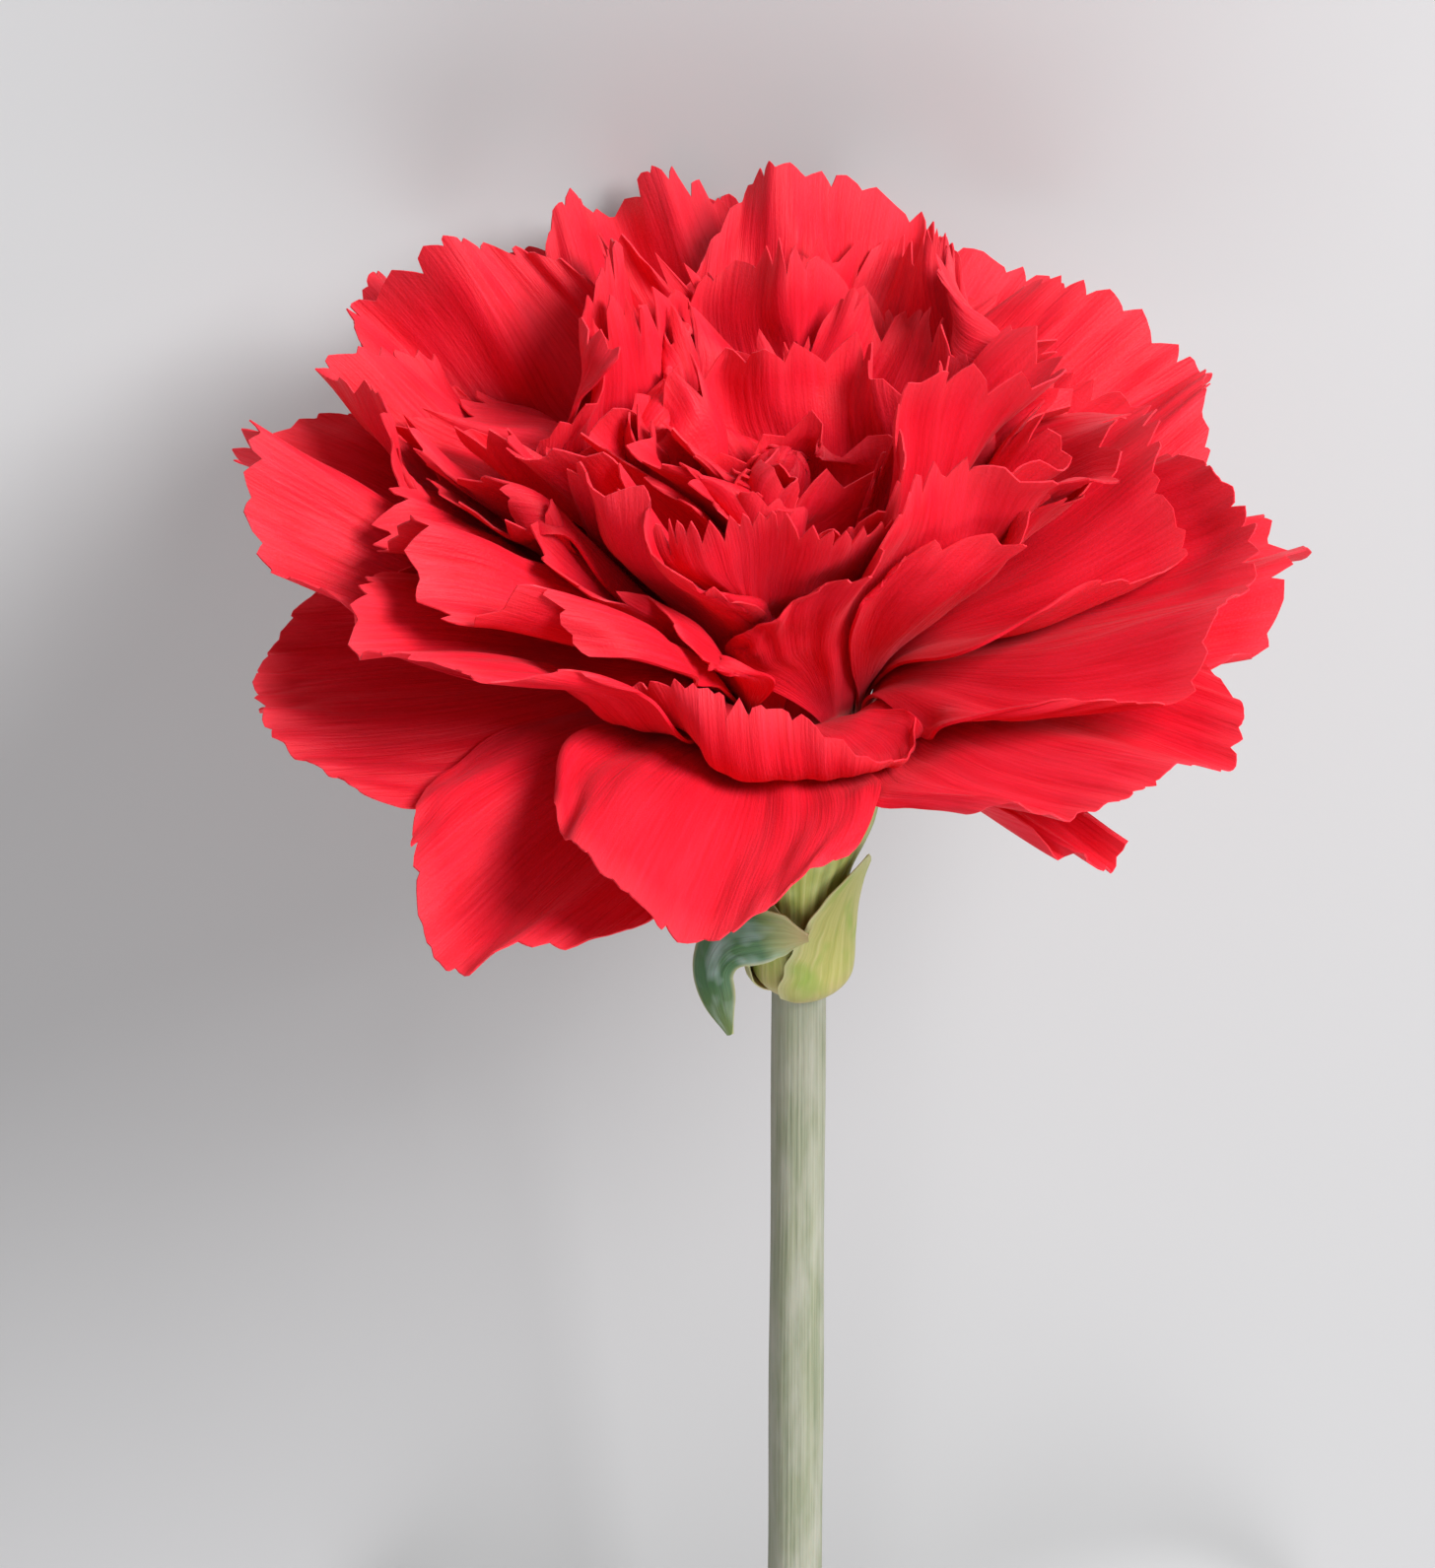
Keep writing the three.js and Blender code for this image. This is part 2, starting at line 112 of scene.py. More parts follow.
# Petals that differ from the run of them. Azimuth, lean, curl and twist are in degrees; length, width and
# tooth, the depth of the teeth, in mm. Skew slopes the margin, fold lifts both sides and calm scales the
# ruffles.
SPECIAL = {
    1: dict(twist=50, tooth=0.5),
    2: dict(lean=-4, curl=-8, tooth=0.45),
    5: dict(tooth=0.4),
    9: dict(lean=-3, curl=2, twist=6, tooth=0.45),
    10: dict(azimuth=257, width=27, tooth=0.35),
    13: dict(twist=0, curl=-6),
    14: dict(curl=-6, twist=-4, tooth=0.7),
    19: dict(skew=-0.15, lean=48, curl=-150, twist=0, tooth=0.6, calm=0.5),
    23: dict(azimuth=352, length=31, width=24, lean=-8, curl=-8, twist=10, fold=0.2),
    25: dict(azimuth=212, length=27, width=23, skew=-0.3, fold=0.12, lean=0, curl=0, twist=0, tooth=1.3),
    28: dict(azimuth=314, length=30, width=28, skew=0.45, fold=0.1, lean=0, curl=0, twist=8, tooth=1.4),
    30: dict(azimuth=236, length=28, width=15, skew=-0.25, fold=0.1, lean=-2, curl=0, twist=0, tooth=1.2),
    33: dict(azimuth=277, length=29, width=40, twist=0, fold=0.30, lean=2, curl=4, calm=0.35),
    36: dict(azimuth=322, length=29, width=26, skew=0.42, fold=0.1, lean=0, curl=4, twist=8, tooth=1.5),
    38: dict(length=23, twist=-10, lean=-6, curl=0),
    41: dict(length=24, twist=10, lean=-4, curl=0),
    46: dict(length=23),
}


def petal_list():
    petals = [dict(azimuth=a, length=l, width=w, guard=True) for a, l, w in GUARD_PETALS]
    for i in range(INNER_PETALS):
        share = 1 - i / (INNER_PETALS - 1)
        petals.append(dict(
            azimuth=(FIRST_INNER_AZIMUTH + i * GOLDEN_ANGLE) % 360,
            length=INNER_LENGTH[0] + share * (INNER_LENGTH[1] - INNER_LENGTH[0]),
            width=INNER_WIDTH[0] + share * (INNER_WIDTH[1] - INNER_WIDTH[0]),
            guard=False))
    for number, changes in SPECIAL.items():
        petals[number - 1].update(changes)
    for i, petal in enumerate(petals):
        petal["azimuth"] = math.radians(petal["azimuth"])
        petal["rank"] = 1 - i / (len(petals) - 1)
        petal["number"] = i + 1
        petal["name"] = f"petal_{i + 1:02d}"
    return petals


PETALS = petal_list()

# ---- the nested shells that the petals start from ----
SHELL_STEPS = 48


def shell(rank, azimuth, distance, extra_lean, curl, length):
    """Radius, height and lean of a shell at distances along it; arrays broadcast together."""
    azimuth, distance = np.broadcast_arrays(azimuth, distance)
    start = math.sqrt(CLAW_INNER_RADIUS ** 2 + rank * (CLAW_OUTER_RADIUS ** 2 - CLAW_INNER_RADIUS ** 2))
    front = np.maximum(-np.sin(azimuth), 0)
    outermost = SIDE_LEAN + FRONT_DROOP * front - BACK_LIFT * np.maximum(np.sin(azimuth), 0)
    share = rank ** (LEAN_POWER + FRONT_HOLD * front * (1 - rank))
    share = share + (rank - share) * EVEN_SHARE
    last = np.radians(INNER_LEAN + (outermost - INNER_LEAN) * share)

    def lean_at(t):
        rise = 1 - (1 - np.clip(t / BEND_LENGTH, 0, 1)) ** 2
        tail = np.clip((t - 0.35 * length) / (0.65 * length), 0, 1) ** 1.5
        return last * rise + extra_lean * rise + curl * tail

    above = np.maximum(distance, 0.0)
    radius = np.full(distance.shape, start)
    height = np.zeros(distance.shape)
    for i in range(SHELL_STEPS):
        lean = lean_at((i + 0.5) / SHELL_STEPS * above)
        radius = radius + np.sin(lean) * above / SHELL_STEPS
        height = height + np.cos(lean) * above / SHELL_STEPS
    inside = distance < 0
    radius = np.where(inside, start * (1 + CLAW_TAPER * distance / CLAW_LENGTH), radius)
    height = np.where(inside, distance, height)
    return radius, height, np.where(inside, 0.0, lean_at(above))


NU, NV, CLAW_ROWS = 17, 18, 3  # control points across and along a petal, and those in its claw
PETAL_ROUNDING = 0.26
RUFFLE_SEED = 1000
FORM_SEED = 7


def sheet_grid(petal, form):
    """Control points (NV, NU, 3) of one petal; form 0 is the bare shell, 1 the full ruffled shape."""
    rng = np.random.default_rng(RUFFLE_SEED + petal["number"])
    L, W = petal["length"], petal["width"]
    u = np.linspace(-1, 1, NU)[None, :]
    rows = np.concatenate([np.linspace(-CLAW_LENGTH, 0, CLAW_ROWS),
                           L * (np.arange(1, NV - CLAW_ROWS + 1) / (NV - CLAW_ROWS)) ** 0.92])[:, None]
    share = np.clip(rows / L, 0, 1)
    sloped = 1 - PETAL_ROUNDING * (u * u) * share ** 1.5 + petal.get("skew", 0) * u * share ** 1.5
    distance = np.where(rows > 0, rows * sloped, rows)
    t = np.clip(distance / L, 0, 1)
    spread = np.sin(math.pi / 2 * np.clip(rows / (WIDEST_AT * L), 0, 1) ** SPREAD_POWER)
    half = CLAW_WIDTH / 2 + (W / 2 - CLAW_WIDTH / 2) * spread
    lean_extra = form * math.radians(petal.get("lean", 0))
    curl = form * math.radians(petal.get("curl", 0))
    middle, _, _ = shell(petal["rank"], petal["azimuth"], rows, lean_extra, curl, L)
    angle_half = np.minimum(half / middle, WIDEST_HALF_ANGLE)
    angle = petal["azimuth"] + u * angle_half
    radius, height, lean = shell(petal["rank"], angle, distance, lean_extra, curl, L)

    # ruffles stand along the shell's normal and grow towards the margin
    grow = t ** petal.get("ruffle_power", 1.7)
    wave = np.zeros_like(t)
    for cycles, size in petal["waves"]:
        phase = rng.uniform(0, TAU)
        drift = rng.uniform(-1.2, 1.2)
        wave = wave + size * np.sin(TAU * cycles * u / 2 + phase + drift * t)
    out = form * (wave * grow + petal.get("fold", 0) * np.abs(u) ** 1.3 * W / 2 * t ** 1.2)
    twist = form * math.radians(petal.get("twist", 0)) * t ** 1.3
    across = radius * (angle - petal["azimuth"])
    out = out + across * np.sin(twist)
    angle = petal["azimuth"] + (angle - petal["azimuth"]) * np.cos(twist)
    r = radius + out * np.cos(lean)
    z = height - out * np.sin(lean)
    return np.stack([r * np.cos(angle) - SWAY * np.maximum(z, 0), r * np.sin(angle), z], axis=-1)


def set_forms():
    """Gives every petal its ruffles: the inner ones are tighter, more folded and more twisted."""
    rng = np.random.default_rng(FORM_SEED)
    for i, petal in enumerate(PETALS):
        if petal["guard"]:
            if math.sin(petal["azimuth"]) < -0.3:
                rough = 1.0
            else:
                rough = 2.3 if math.cos(petal["azimuth"]) < 0.3 else 1.5
            petal["waves"] = [(rng.uniform(0.8, 1.4), 1.3 * rough), (rng.uniform(2.0, 3.0), 1.2 * rough),
                              (rng.uniform(4, 5.5), 0.5 * rough)]
            petal.setdefault("curl", rng.uniform(-8, 14))
            petal.setdefault("twist", rng.uniform(-8, 8) * rough)
            petal["tooth"] = 1.0
        else:
            inner = (i - len(GUARD_PETALS)) / (INNER_PETALS - 1)
            petal["waves"] = [(rng.uniform(1.0, 1.6), 2.4), (rng.uniform(2.2, 3.4), 3.2 - 1.4 * inner),
                              (rng.uniform(4.5, 6), 1.1)]
            petal["ruffle_power"] = 1.3
            petal.setdefault("curl", rng.uniform(-30, 30))
            petal.setdefault("lean", rng.uniform(-6, 10))
            petal.setdefault("twist", rng.choice([-1, 1]) * rng.uniform(10, 60))
            petal.setdefault("fold", rng.choice([-1, 1]) * rng.uniform(0.2, 0.8))
            petal["tooth"] = 1.9
        own = SPECIAL.get(i + 1, {})
        petal.update({k: v for k, v in own.items() if k not in ("azimuth", "length", "width")})
        petal["waves"] = [(cycles, size * petal.get("calm", 1)) for cycles, size in petal["waves"]]


# ---- relaxing the petals against each other ----
RELAX_STEPS = 110
GAP_AT_MOUTH, GAP_GROWTH = 0.22, 0.5  # half the clearance wanted, at the mouth and added by the margin
REACH_AT_MOUTH, REACH_GROWTH = 0.8, 1.8  # how near two petals are when they push each other
FORMING_SHARE = 0.6  # of the steps, in which the petals take on their forms
FORMING_PULL = 0.10
RESTING_PULL = 0.03
LINK_PASSES = 2
LINK_RELAXATION = 1.2
PAIRS_EVERY = 4  # steps between searches for close pairs
PUSH_PASSES = 2
PUSH_STIFFNESS = 0.25
PUSH_LIMIT = 0.8
PUSH_SHARING = 0.35


def grid_normals(P):
    du = np.gradient(P, axis=2)
    dv = np.gradient(P, axis=1)
    n = np.cross(du, dv)
    return n / np.maximum(np.linalg.norm(n, axis=-1, keepdims=True), 1e-9)


def close_pairs(X, owner, reaches):
    """Index pairs of points of different petals nearer than their reach."""
    reach = reaches.max()
    cell = np.floor(X / reach).astype(np.int64)
    cell -= cell.min(axis=0)
    span = cell.max(axis=0) + 3
    key = (cell[:, 0] * span[1] + cell[:, 1]) * span[2] + cell[:, 2]
    order = np.argsort(key, kind="stable")
    sorted_key = key[order]
    firsts, seconds = [], []
    for dx in (-1, 0, 1):
        for dy in (-1, 0, 1):
            for dz in (-1, 0, 1):
                step = (dx * span[1] + dy) * span[2] + dz
                if step < 0:
                    continue
                low = np.searchsorted(sorted_key, key + step, "left")
                high = np.searchsorted(sorted_key, key + step, "right")
                count = high - low
                a = np.repeat(np.arange(len(X)), count)
                offset = np.arange(count.sum()) - np.repeat(np.cumsum(count) - count, count)
                b = order[np.repeat(low, count) + offset]
                keep = owner[a] != owner[b]
                if step == 0:
                    keep &= a < b
                a, b = a[keep], b[keep]
                apart = X[a] - X[b]
                near = np.einsum("ij,ij->i", apart, apart) < np.minimum(reaches[a], reaches[b]) ** 2
                firsts.append(a[near])
                seconds.append(b[near])
    return np.concatenate(firsts), np.concatenate(seconds)


def relax(steps):
    base = np.stack([sheet_grid(p, 0.0) for p in PETALS])
    full = np.stack([sheet_grid(p, 1.0) for p in PETALS])
    P = base.copy()
    count = len(PETALS)
    move = np.ones((count, NV, NU, 1))
    move[:, :CLAW_ROWS] = 0
    move[:, CLAW_ROWS] = 0.5
    row_share = np.clip(np.arange(NV) - CLAW_ROWS + 1, 0, None) / (NV - CLAW_ROWS)
    gap = np.broadcast_to(
        (GAP_AT_MOUTH + GAP_GROWTH * row_share)[None, :, None], (count, NV, NU)).reshape(-1)
    owner = np.repeat(np.arange(count), NV * NU)
    reaches = np.broadcast_to(
        (REACH_AT_MOUTH + REACH_GROWTH * row_share)[None, :, None], (count, NV, NU)).reshape(-1)
    above_mouth = (np.arange(NV) >= CLAW_ROWS)[None, :, None]
    loose = np.flatnonzero(np.broadcast_to(above_mouth, (count, NV, NU)).reshape(-1))
    links = []
    for dv, du, k in ((0, 1, 1.0), (1, 0, 1.0), (1, 1, 0.5), (1, -1, 0.5), (0, 2, 0.35), (2, 0, 0.5)):
        if du >= 0:
            a = (slice(None), slice(0, NV - dv), slice(0, NU - du))
            b = (slice(None), slice(dv, NV), slice(du, NU))
        else:
            a = (slice(None), slice(0, NV - dv), slice(-du, NU))
            b = (slice(None), slice(dv, NV), slice(0, NU + du))
        rest0 = np.linalg.norm(base[b] - base[a], axis=-1, keepdims=True)
        rest1 = np.linalg.norm(full[b] - full[a], axis=-1, keepdims=True)
        links.append((a, b, rest0, rest1, k))
    down = np.array([0.0, math.cos(LYING_TILT), -math.sin(LYING_TILT)])
    for step in range(steps):
        form = min(1.0, (step + 1) / (FORMING_SHARE * steps))
        target = base + (full - base) * form
        P += (target - P) * (FORMING_PULL if step < FORMING_SHARE * steps else RESTING_PULL) * move
        for _ in range(LINK_PASSES):
            D = np.zeros_like(P)
            C = np.full(P.shape[:3] + (1,), 1e-6)
            for a, b, rest0, rest1, k in links:
                rest = rest0 + (rest1 - rest0) * form
                d = P[b] - P[a]
                length = np.maximum(np.linalg.norm(d, axis=-1, keepdims=True), 1e-6)
                wa, wb = move[a], move[b]
                c = k * (length - rest) / length * d / np.maximum(wa + wb, 1e-6)
                D[a] += c * wa
                D[b] -= c * wb
                C[a] += k
                C[b] += k
            P += D / C * LINK_RELAXATION
        X = P.reshape(-1, 3)
        if step % PAIRS_EVERY == 0:
            first, second = close_pairs(X[loose], owner[loose], reaches[loose])
            first, second = loose[first], loose[second]
            swap = owner[first] < owner[second]  # owner 0 is outermost: first becomes the inner petal
            first, second = np.where(swap, second, first), np.where(swap, first, second)
        for _ in range(PUSH_PASSES):
            N = grid_normals(P).reshape(-1, 3)
            n = N[first] + N[second]
            size = np.linalg.norm(n, axis=1, keepdims=True)
            n = n / np.maximum(size, 1e-6)
            d = X[second] - X[first]
            along = np.einsum("ij,ij->i", d, n)
            aside = np.sqrt(np.maximum(np.einsum("ij,ij->i", d, d) - along ** 2, 0))
            want = gap[first] + gap[second]
            want = want * np.clip(1 - aside / np.minimum(reaches[first], reaches[second]), 0, 1) ** 0.5
            push = np.clip(want - along, 0, PUSH_LIMIT)
            push[(size[:, 0] < 0.6) | (along < -1.6)] = 0
            v = n * (PUSH_STIFFNESS * push)[:, None]
            D = np.zeros_like(X)
            C = np.ones(len(X))
            hit = push > 0
            for axis in range(3):
                D[:, axis] = (np.bincount(second[hit], v[hit, axis], len(X))
                              - np.bincount(first[hit], v[hit, axis], len(X)))
            C += PUSH_SHARING * (np.bincount(second[hit], minlength=len(X))
                                 + np.bincount(first[hit], minlength=len(X)))
            P += (D / C[:, None] * 2.0).reshape(P.shape) * move
            X = P.reshape(-1, 3)
        # nothing goes through the table
        height = -(X @ down) + MOUTH[2]
        below = np.maximum(TABLE_CLEARANCE + 0.3 - height, 0)
        X -= down * below[:, None]
        P = X.reshape(P.shape)
    return P


# ---- meshes ----
SHARP_ANGLE = 50  # degrees; edges sharper than this are shaded as edges


def add_mesh(name, verts, faces, looks, node, grain, tone, sharp):
    """A closed mesh from points in the flower's frame, riding on the root in place of its CAD node."""
    mesh = bpy.data.meshes.new(name)
    mesh.from_pydata(to_row(verts).tolist(), [], [list(map(int, f)) for f in faces])
    mesh.polygons.foreach_set("use_smooth", np.ones(len(faces), bool))
    mesh.update()
    mesh.set_sharp_from_angle(angle=math.radians(sharp))
    layer = mesh.attributes.new("grain", "FLOAT_VECTOR", "POINT")
    layer.data.foreach_set("vector", np.asarray(grain, np.float32).ravel())
    layer = mesh.attributes.new("tone", "FLOAT", "POINT")
    layer.data.foreach_set("value", np.full(len(verts), tone, np.float32))
    mesh.materials.append(looks)
    obj = bpy.data.objects.new(name, mesh)
    bpy.context.scene.collection.objects.link(obj)
    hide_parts(node)
    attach(obj, "root")
    return obj


def add_sheet(name, P, half, grain, looks, node, tone):
    """A thin closed sheet about the grid P (rows, columns, 3); half is its half thickness."""
    N = np.cross(np.gradient(P, axis=1), np.gradient(P, axis=0))
    N /= np.maximum(np.linalg.norm(N, axis=-1, keepdims=True), 1e-9)
    rows, cols = P.shape[:2]
    half = np.broadcast_to(half, (rows, cols))[..., None]
    verts = np.concatenate([(P + N * half).reshape(-1, 3), (P - N * half).reshape(-1, 3)])
    idx = np.arange(rows * cols).reshape(rows, cols)
    n = rows * cols
    a, b, c, d = (q.ravel() for q in (idx[:-1, :-1], idx[:-1, 1:], idx[1:, 1:], idx[1:, :-1]))
    upper = np.stack([a, b, c, d], -1)
    lower = np.stack([a, d, c, b], -1) + n
    rim = np.concatenate([idx[0, :-1], idx[:-1, -1], idx[-1, :0:-1], idx[:0:-1, 0]])
    after = np.roll(rim, -1)
    wall = np.stack([after, rim, rim + n, after + n], -1)
    grain = np.broadcast_to(grain, (rows, cols, 3)).reshape(-1, 3)
    return add_mesh(name, verts, np.concatenate([upper, lower, wall]), looks, node,
                    np.concatenate([grain, grain]), tone, SHARP_ANGLE)


def add_tube(name, rings, looks, node, grain, sharp=SHARP_ANGLE, caps=True):
    """A closed body from rings (count, sides, 3), capped at both ends or joined last to first."""
    count, sides = rings.shape[:2]
    idx = np.arange(count * sides).reshape(count, sides)
    right = np.roll(idx, -1, axis=1)
    if caps:
        a, b, c, d = (q.ravel() for q in (idx[:-1], right[:-1], right[1:], idx[1:]))
        faces = [list(f) for f in np.stack([a, b, c, d], -1)]
        faces += [list(idx[0, ::-1]), list(idx[-1])]
    else:
        ahead, ahead_right = np.roll(idx, -1, axis=0), np.roll(right, -1, axis=0)
        faces = np.stack([q.ravel() for q in (idx, right, ahead_right, ahead)], -1).tolist()
    verts, grain = rings.reshape(-1, 3), grain.reshape(-1, 3)
    return add_mesh(name, verts, faces, looks, node, grain, 0.0, sharp)


# ---- fine petal meshes ----
FINE_ROWS = 46
PETAL_THICKNESS = 0.24
CRINKLE = 0.11
CRINKLE_WAVES = 7
TOOTH_SPACING = 1.5
MARGIN_SEED = 500


def spline_weights(t, n):
    """Cubic B-spline weights at positions t from 0 to n - 1, with the points beyond each end mirrored."""
    i = np.clip(np.floor(t).astype(int), 0, n - 2)
    f = t - i
    w = np.stack([(1 - f) ** 3, 3 * f ** 3 - 6 * f ** 2 + 4,
                  -3 * f ** 3 + 3 * f ** 2 + 3 * f + 1, f ** 3], axis=-1).reshape(-1, 4) / 6
    M = np.zeros((i.size, n))
    rows = np.arange(i.size)
    for k in range(4):
        j = i.ravel() + k - 1
        inside = (j >= 0) & (j < n)
        np.add.at(M, (rows[inside], j[inside]), w[inside, k])
        for out, end, near in ((j < 0, 0, 1), (j >= n, n - 1, n - 2)):
            np.add.at(M, (rows[out], np.full(out.sum(), end)), 2 * w[out, k])
            np.add.at(M, (rows[out], np.full(out.sum(), near)), -w[out, k])
    return M.reshape(t.shape + (n,))


def margin(petal, rng):
    """Columns across a petal, and how far its margin is cut back at each, in shares of its length."""
    W, L, depth = petal["width"], petal["length"], petal["tooth"]
    edges = [-1.0]
    while edges[-1] < 1.0:
        edges.append(edges[-1] + rng.uniform(0.5, 1.6) * 2 * TOOTH_SPACING / W)
    edges = np.array(edges)
    edges = -1 + (edges + 1) * 2 / (edges[-1] + 1)
    us, cuts = [], []
    for a, b in zip(edges[:-1], edges[1:]):
        peak = a + (b - a) * rng.uniform(0.3, 0.7)
        deep = depth * rng.uniform(0.4, 1.4) * min((b - a) * W / (2 * TOOTH_SPACING), 1.2)
        if rng.uniform() < 0.15:
            deep *= 1.8
        tip = depth * rng.uniform(0.0, 0.2)
        for f in (0.0, 0.3, 0.65):
            us.append(a + (peak - a) * f)
            cuts.append(deep + (tip - deep) * f ** 0.9)
        for f in (0.0, 0.35, 0.7):
            us.append(peak + (b - peak) * f)
            cuts.append(tip + (deep - tip) * f ** 1.1)
    us.append(1.0)
    cuts.append(depth * 0.6)
    return np.array(us), np.array(cuts) / L


def add_petal(petal, control, looks):
    rng = np.random.default_rng(MARGIN_SEED + petal["number"])
    us, cuts = margin(petal, rng)
    slow = np.interp(us, np.linspace(-1, 1, 9), rng.uniform(0, 0.05, 9))
    s = np.linspace(0, 1, FINE_ROWS)[:, None]
    v = s * (1 - (cuts + slow)[None, :] * np.clip((s - 0.55) / 0.45, 0, 1) ** 2)
    across = spline_weights((us + 1) / 2 * (NU - 1), NU)
    along = spline_weights(v * (NV - 1), NV)
    P = np.einsum("rcv,vux,cu->rcx", along, control, across, optimize=True)
    half = PETAL_THICKNESS / 2 * (1 - 0.5 * np.clip((s - 0.8) / 0.2, 0, 1))
    across_mm, along_mm = us[None, :] * petal["width"] / 2, s * petal["length"]
    N = np.cross(np.gradient(P, axis=1), np.gradient(P, axis=0))
    N /= np.maximum(np.linalg.norm(N, axis=-1, keepdims=True), 1e-9)
    crinkle = np.zeros(P.shape[:2])
    for _ in range(CRINKLE_WAVES):
        turn = TAU * (across_mm * rng.uniform(0.10, 0.55) + along_mm * rng.uniform(-0.07, 0.07))
        crinkle = crinkle + np.sin(turn + rng.uniform(0, TAU)) * rng.uniform(0.4, 1.0)
    P = P + N * (CRINKLE * petal.get("calm", 1) * crinkle * np.clip((s - 0.3) / 0.7, 0, 1) ** 1.3)[..., None]
    grain = np.stack(np.broadcast_arrays(across_mm, along_mm, s), -1)
    add_sheet(petal["name"] + "_ruffled", P, half, grain, looks, petal["name"], tone=rng.uniform())


# ---- calyx and bracts ----
CALYX_OUTLINE = [
    (0, 0), (0.06, 0.06), (0.2, 0.1), (0.34, 0.17), (0.47, 0.34), (0.58, 0.62), (0.66, 0.8), (0.78, 0.93),
    (1, 1),
]


def smooth_read(table, at):
    """A value read off a short table of positions and values, along a smooth curve."""
    x, y = np.array(table, float).T
    slope = np.gradient(y, x)
    at = np.clip(at, x[0], x[-1])
    i = np.clip(np.searchsorted(x, at, "right") - 1, 0, len(x) - 2)
    h = x[i + 1] - x[i]
    f = (at - x[i]) / h
    return ((2 * f ** 3 - 3 * f ** 2 + 1) * y[i] + (f ** 3 - 2 * f ** 2 + f) * h * slope[i]
            + (-2 * f ** 3 + 3 * f ** 2) * y[i + 1] + (f ** 3 - f ** 2) * h * slope[i + 1])


def calyx_radius(height):
    share = smooth_read(CALYX_OUTLINE, (np.asarray(height) + CALYX_LENGTH) / CALYX_LENGTH)
    return CALYX_BASE_RADIUS + (CALYX_MOUTH_RADIUS - CALYX_BASE_RADIUS) * share


def closed_foot(radius, height, rest):
    """Draws a radius in towards rest over the last stretch above the calyx's base."""
    share = np.clip(height / FOOT_HEIGHT, 0, 1)
    return rest + (radius - rest) * np.sin(share * math.pi / 2) ** 0.7


def add_calyx(looks):
    sides, levels = 200, 60
    angle = np.linspace(0, TAU, sides, endpoint=False)[None, :]
    share = np.linspace(0, 1, levels)[:, None]
    phase = np.abs((angle / TAU * CALYX_TEETH + 10) % 1 - 0.5) * 2
    top = -TOOTH_HEIGHT * (1 - phase) ** 0.8
    z = -CALYX_LENGTH + share * (CALYX_LENGTH + top)
    ribs = 0.05 * np.cos(angle * CALYX_TEETH * 5) * np.sin(math.pi * share) ** 0.5
    outer = calyx_radius(z) + ribs + 0.25 * np.clip(share - 0.8, 0, 1) * phase
    outer = closed_foot(outer, z + CALYX_LENGTH, STEM_TOP_RADIUS + 0.18)
    wall = CALYX_WALL * (1 - 0.6 * np.clip((share - 0.85) / 0.15, 0, 1))
    inner = np.maximum(outer - wall, STEM_TOP_RADIUS + 0.04)
    ring = lambda r, z: np.stack(np.broadcast_arrays(r * np.cos(angle), r * np.sin(angle), z), -1)
    rings = np.concatenate([ring(outer, z), ring(inner, z)[::-1]])
    grain = np.stack(np.broadcast_arrays(angle * 5, z, share), -1)
    add_tube("calyx_ribbed", rings, looks, "calyx", np.concatenate([grain, grain[::-1]]), caps=False)


BRACTS = [
    ("bract_inner_left", 232, 58, 9.5, 0),
    ("bract_inner_right", 52, 58, 9.5, 0),
    ("bract_outer_front", 322, 76, 13.0, 1),
    ("bract_outer_back", 142, 68, 11.5, 1),
]
BRACT_THICKNESS = 0.35
BRACT_TAPER = 1.6


def add_bracts(looks):
    for number, (name, azimuth, half, height, layer) in enumerate(BRACTS):
        s = np.linspace(0, 1, 50)[:, None]
        u = np.linspace(-1, 1, 61)[None, :]
        z = -CALYX_LENGTH - 0.15 * layer + s * (height + 0.4) + 0.15 * np.sin(7 * u + number) * s
        taper = np.maximum(1 - s ** BRACT_TAPER, 0.0) * (1 + 0.02 * np.sin(40 * s + number)) + 0.015
        angle = np.radians(azimuth + u * half * taper)
        inside = calyx_radius(z) + GAP + layer * (BRACT_THICKNESS + GAP)
        lift = 0.12 * s ** 3 + 0.10 * np.abs(u) ** 6
        foot = STEM_TOP_RADIUS + 0.3 + 0.22 * layer
        r = closed_foot(inside + BRACT_THICKNESS / 2 + lift, z + CALYX_LENGTH + 0.15 * layer, foot)
        P = np.stack(np.broadcast_arrays(r * np.cos(angle), r * np.sin(angle), z), -1)
        edge = np.maximum(np.abs(u), s)
        thin = BRACT_THICKNESS / 2 * (1 - 0.75 * np.clip((edge - 0.75) / 0.25, 0, 1))
        grain = np.stack(np.broadcast_arrays(u * 4.5, s * height, np.maximum(np.abs(u) ** 3, s ** 4)), -1)
        add_sheet(name + "_scale", P, thin, grain, looks, name, tone=0.1 * number)


# The bract that has peeled away: points of its middle line from the calyx's base, the way it faces in
# degrees and its half width.
CURLED_BRACT = [
    ((0.6, -4.75, 7.0), 276, 1.3),
    ((-2.4, -4.6, 6.9), 244, 2.2),
    ((-4.9, -3.9, 5.7), 226, 2.6),
    ((-6.1, -3.6, 3.2), 236, 2.0),
    ((-5.8, -3.8, 0.6), 248, 1.3),
    ((-4.9, -4.0, -2.0), 256, 0.25),
]
CURL_HOLLOW = 0.5


def catmull_rom(points, t):
    padded = np.concatenate([[2 * points[0] - points[1]], points, [2 * points[-1] - points[-2]]])
    at = np.clip(t, 0, 1) * (len(points) - 1)
    i = np.clip(np.floor(at).astype(int), 0, len(points) - 2)
    f = (at - i)[:, None]
    a, b, c, d = (padded[i + k] for k in range(4))
    return 0.5 * (2 * b + (c - a) * f + (2 * a - 5 * b + 4 * c - d) * f ** 2
                  + (3 * b - a - 3 * c + d) * f ** 3)


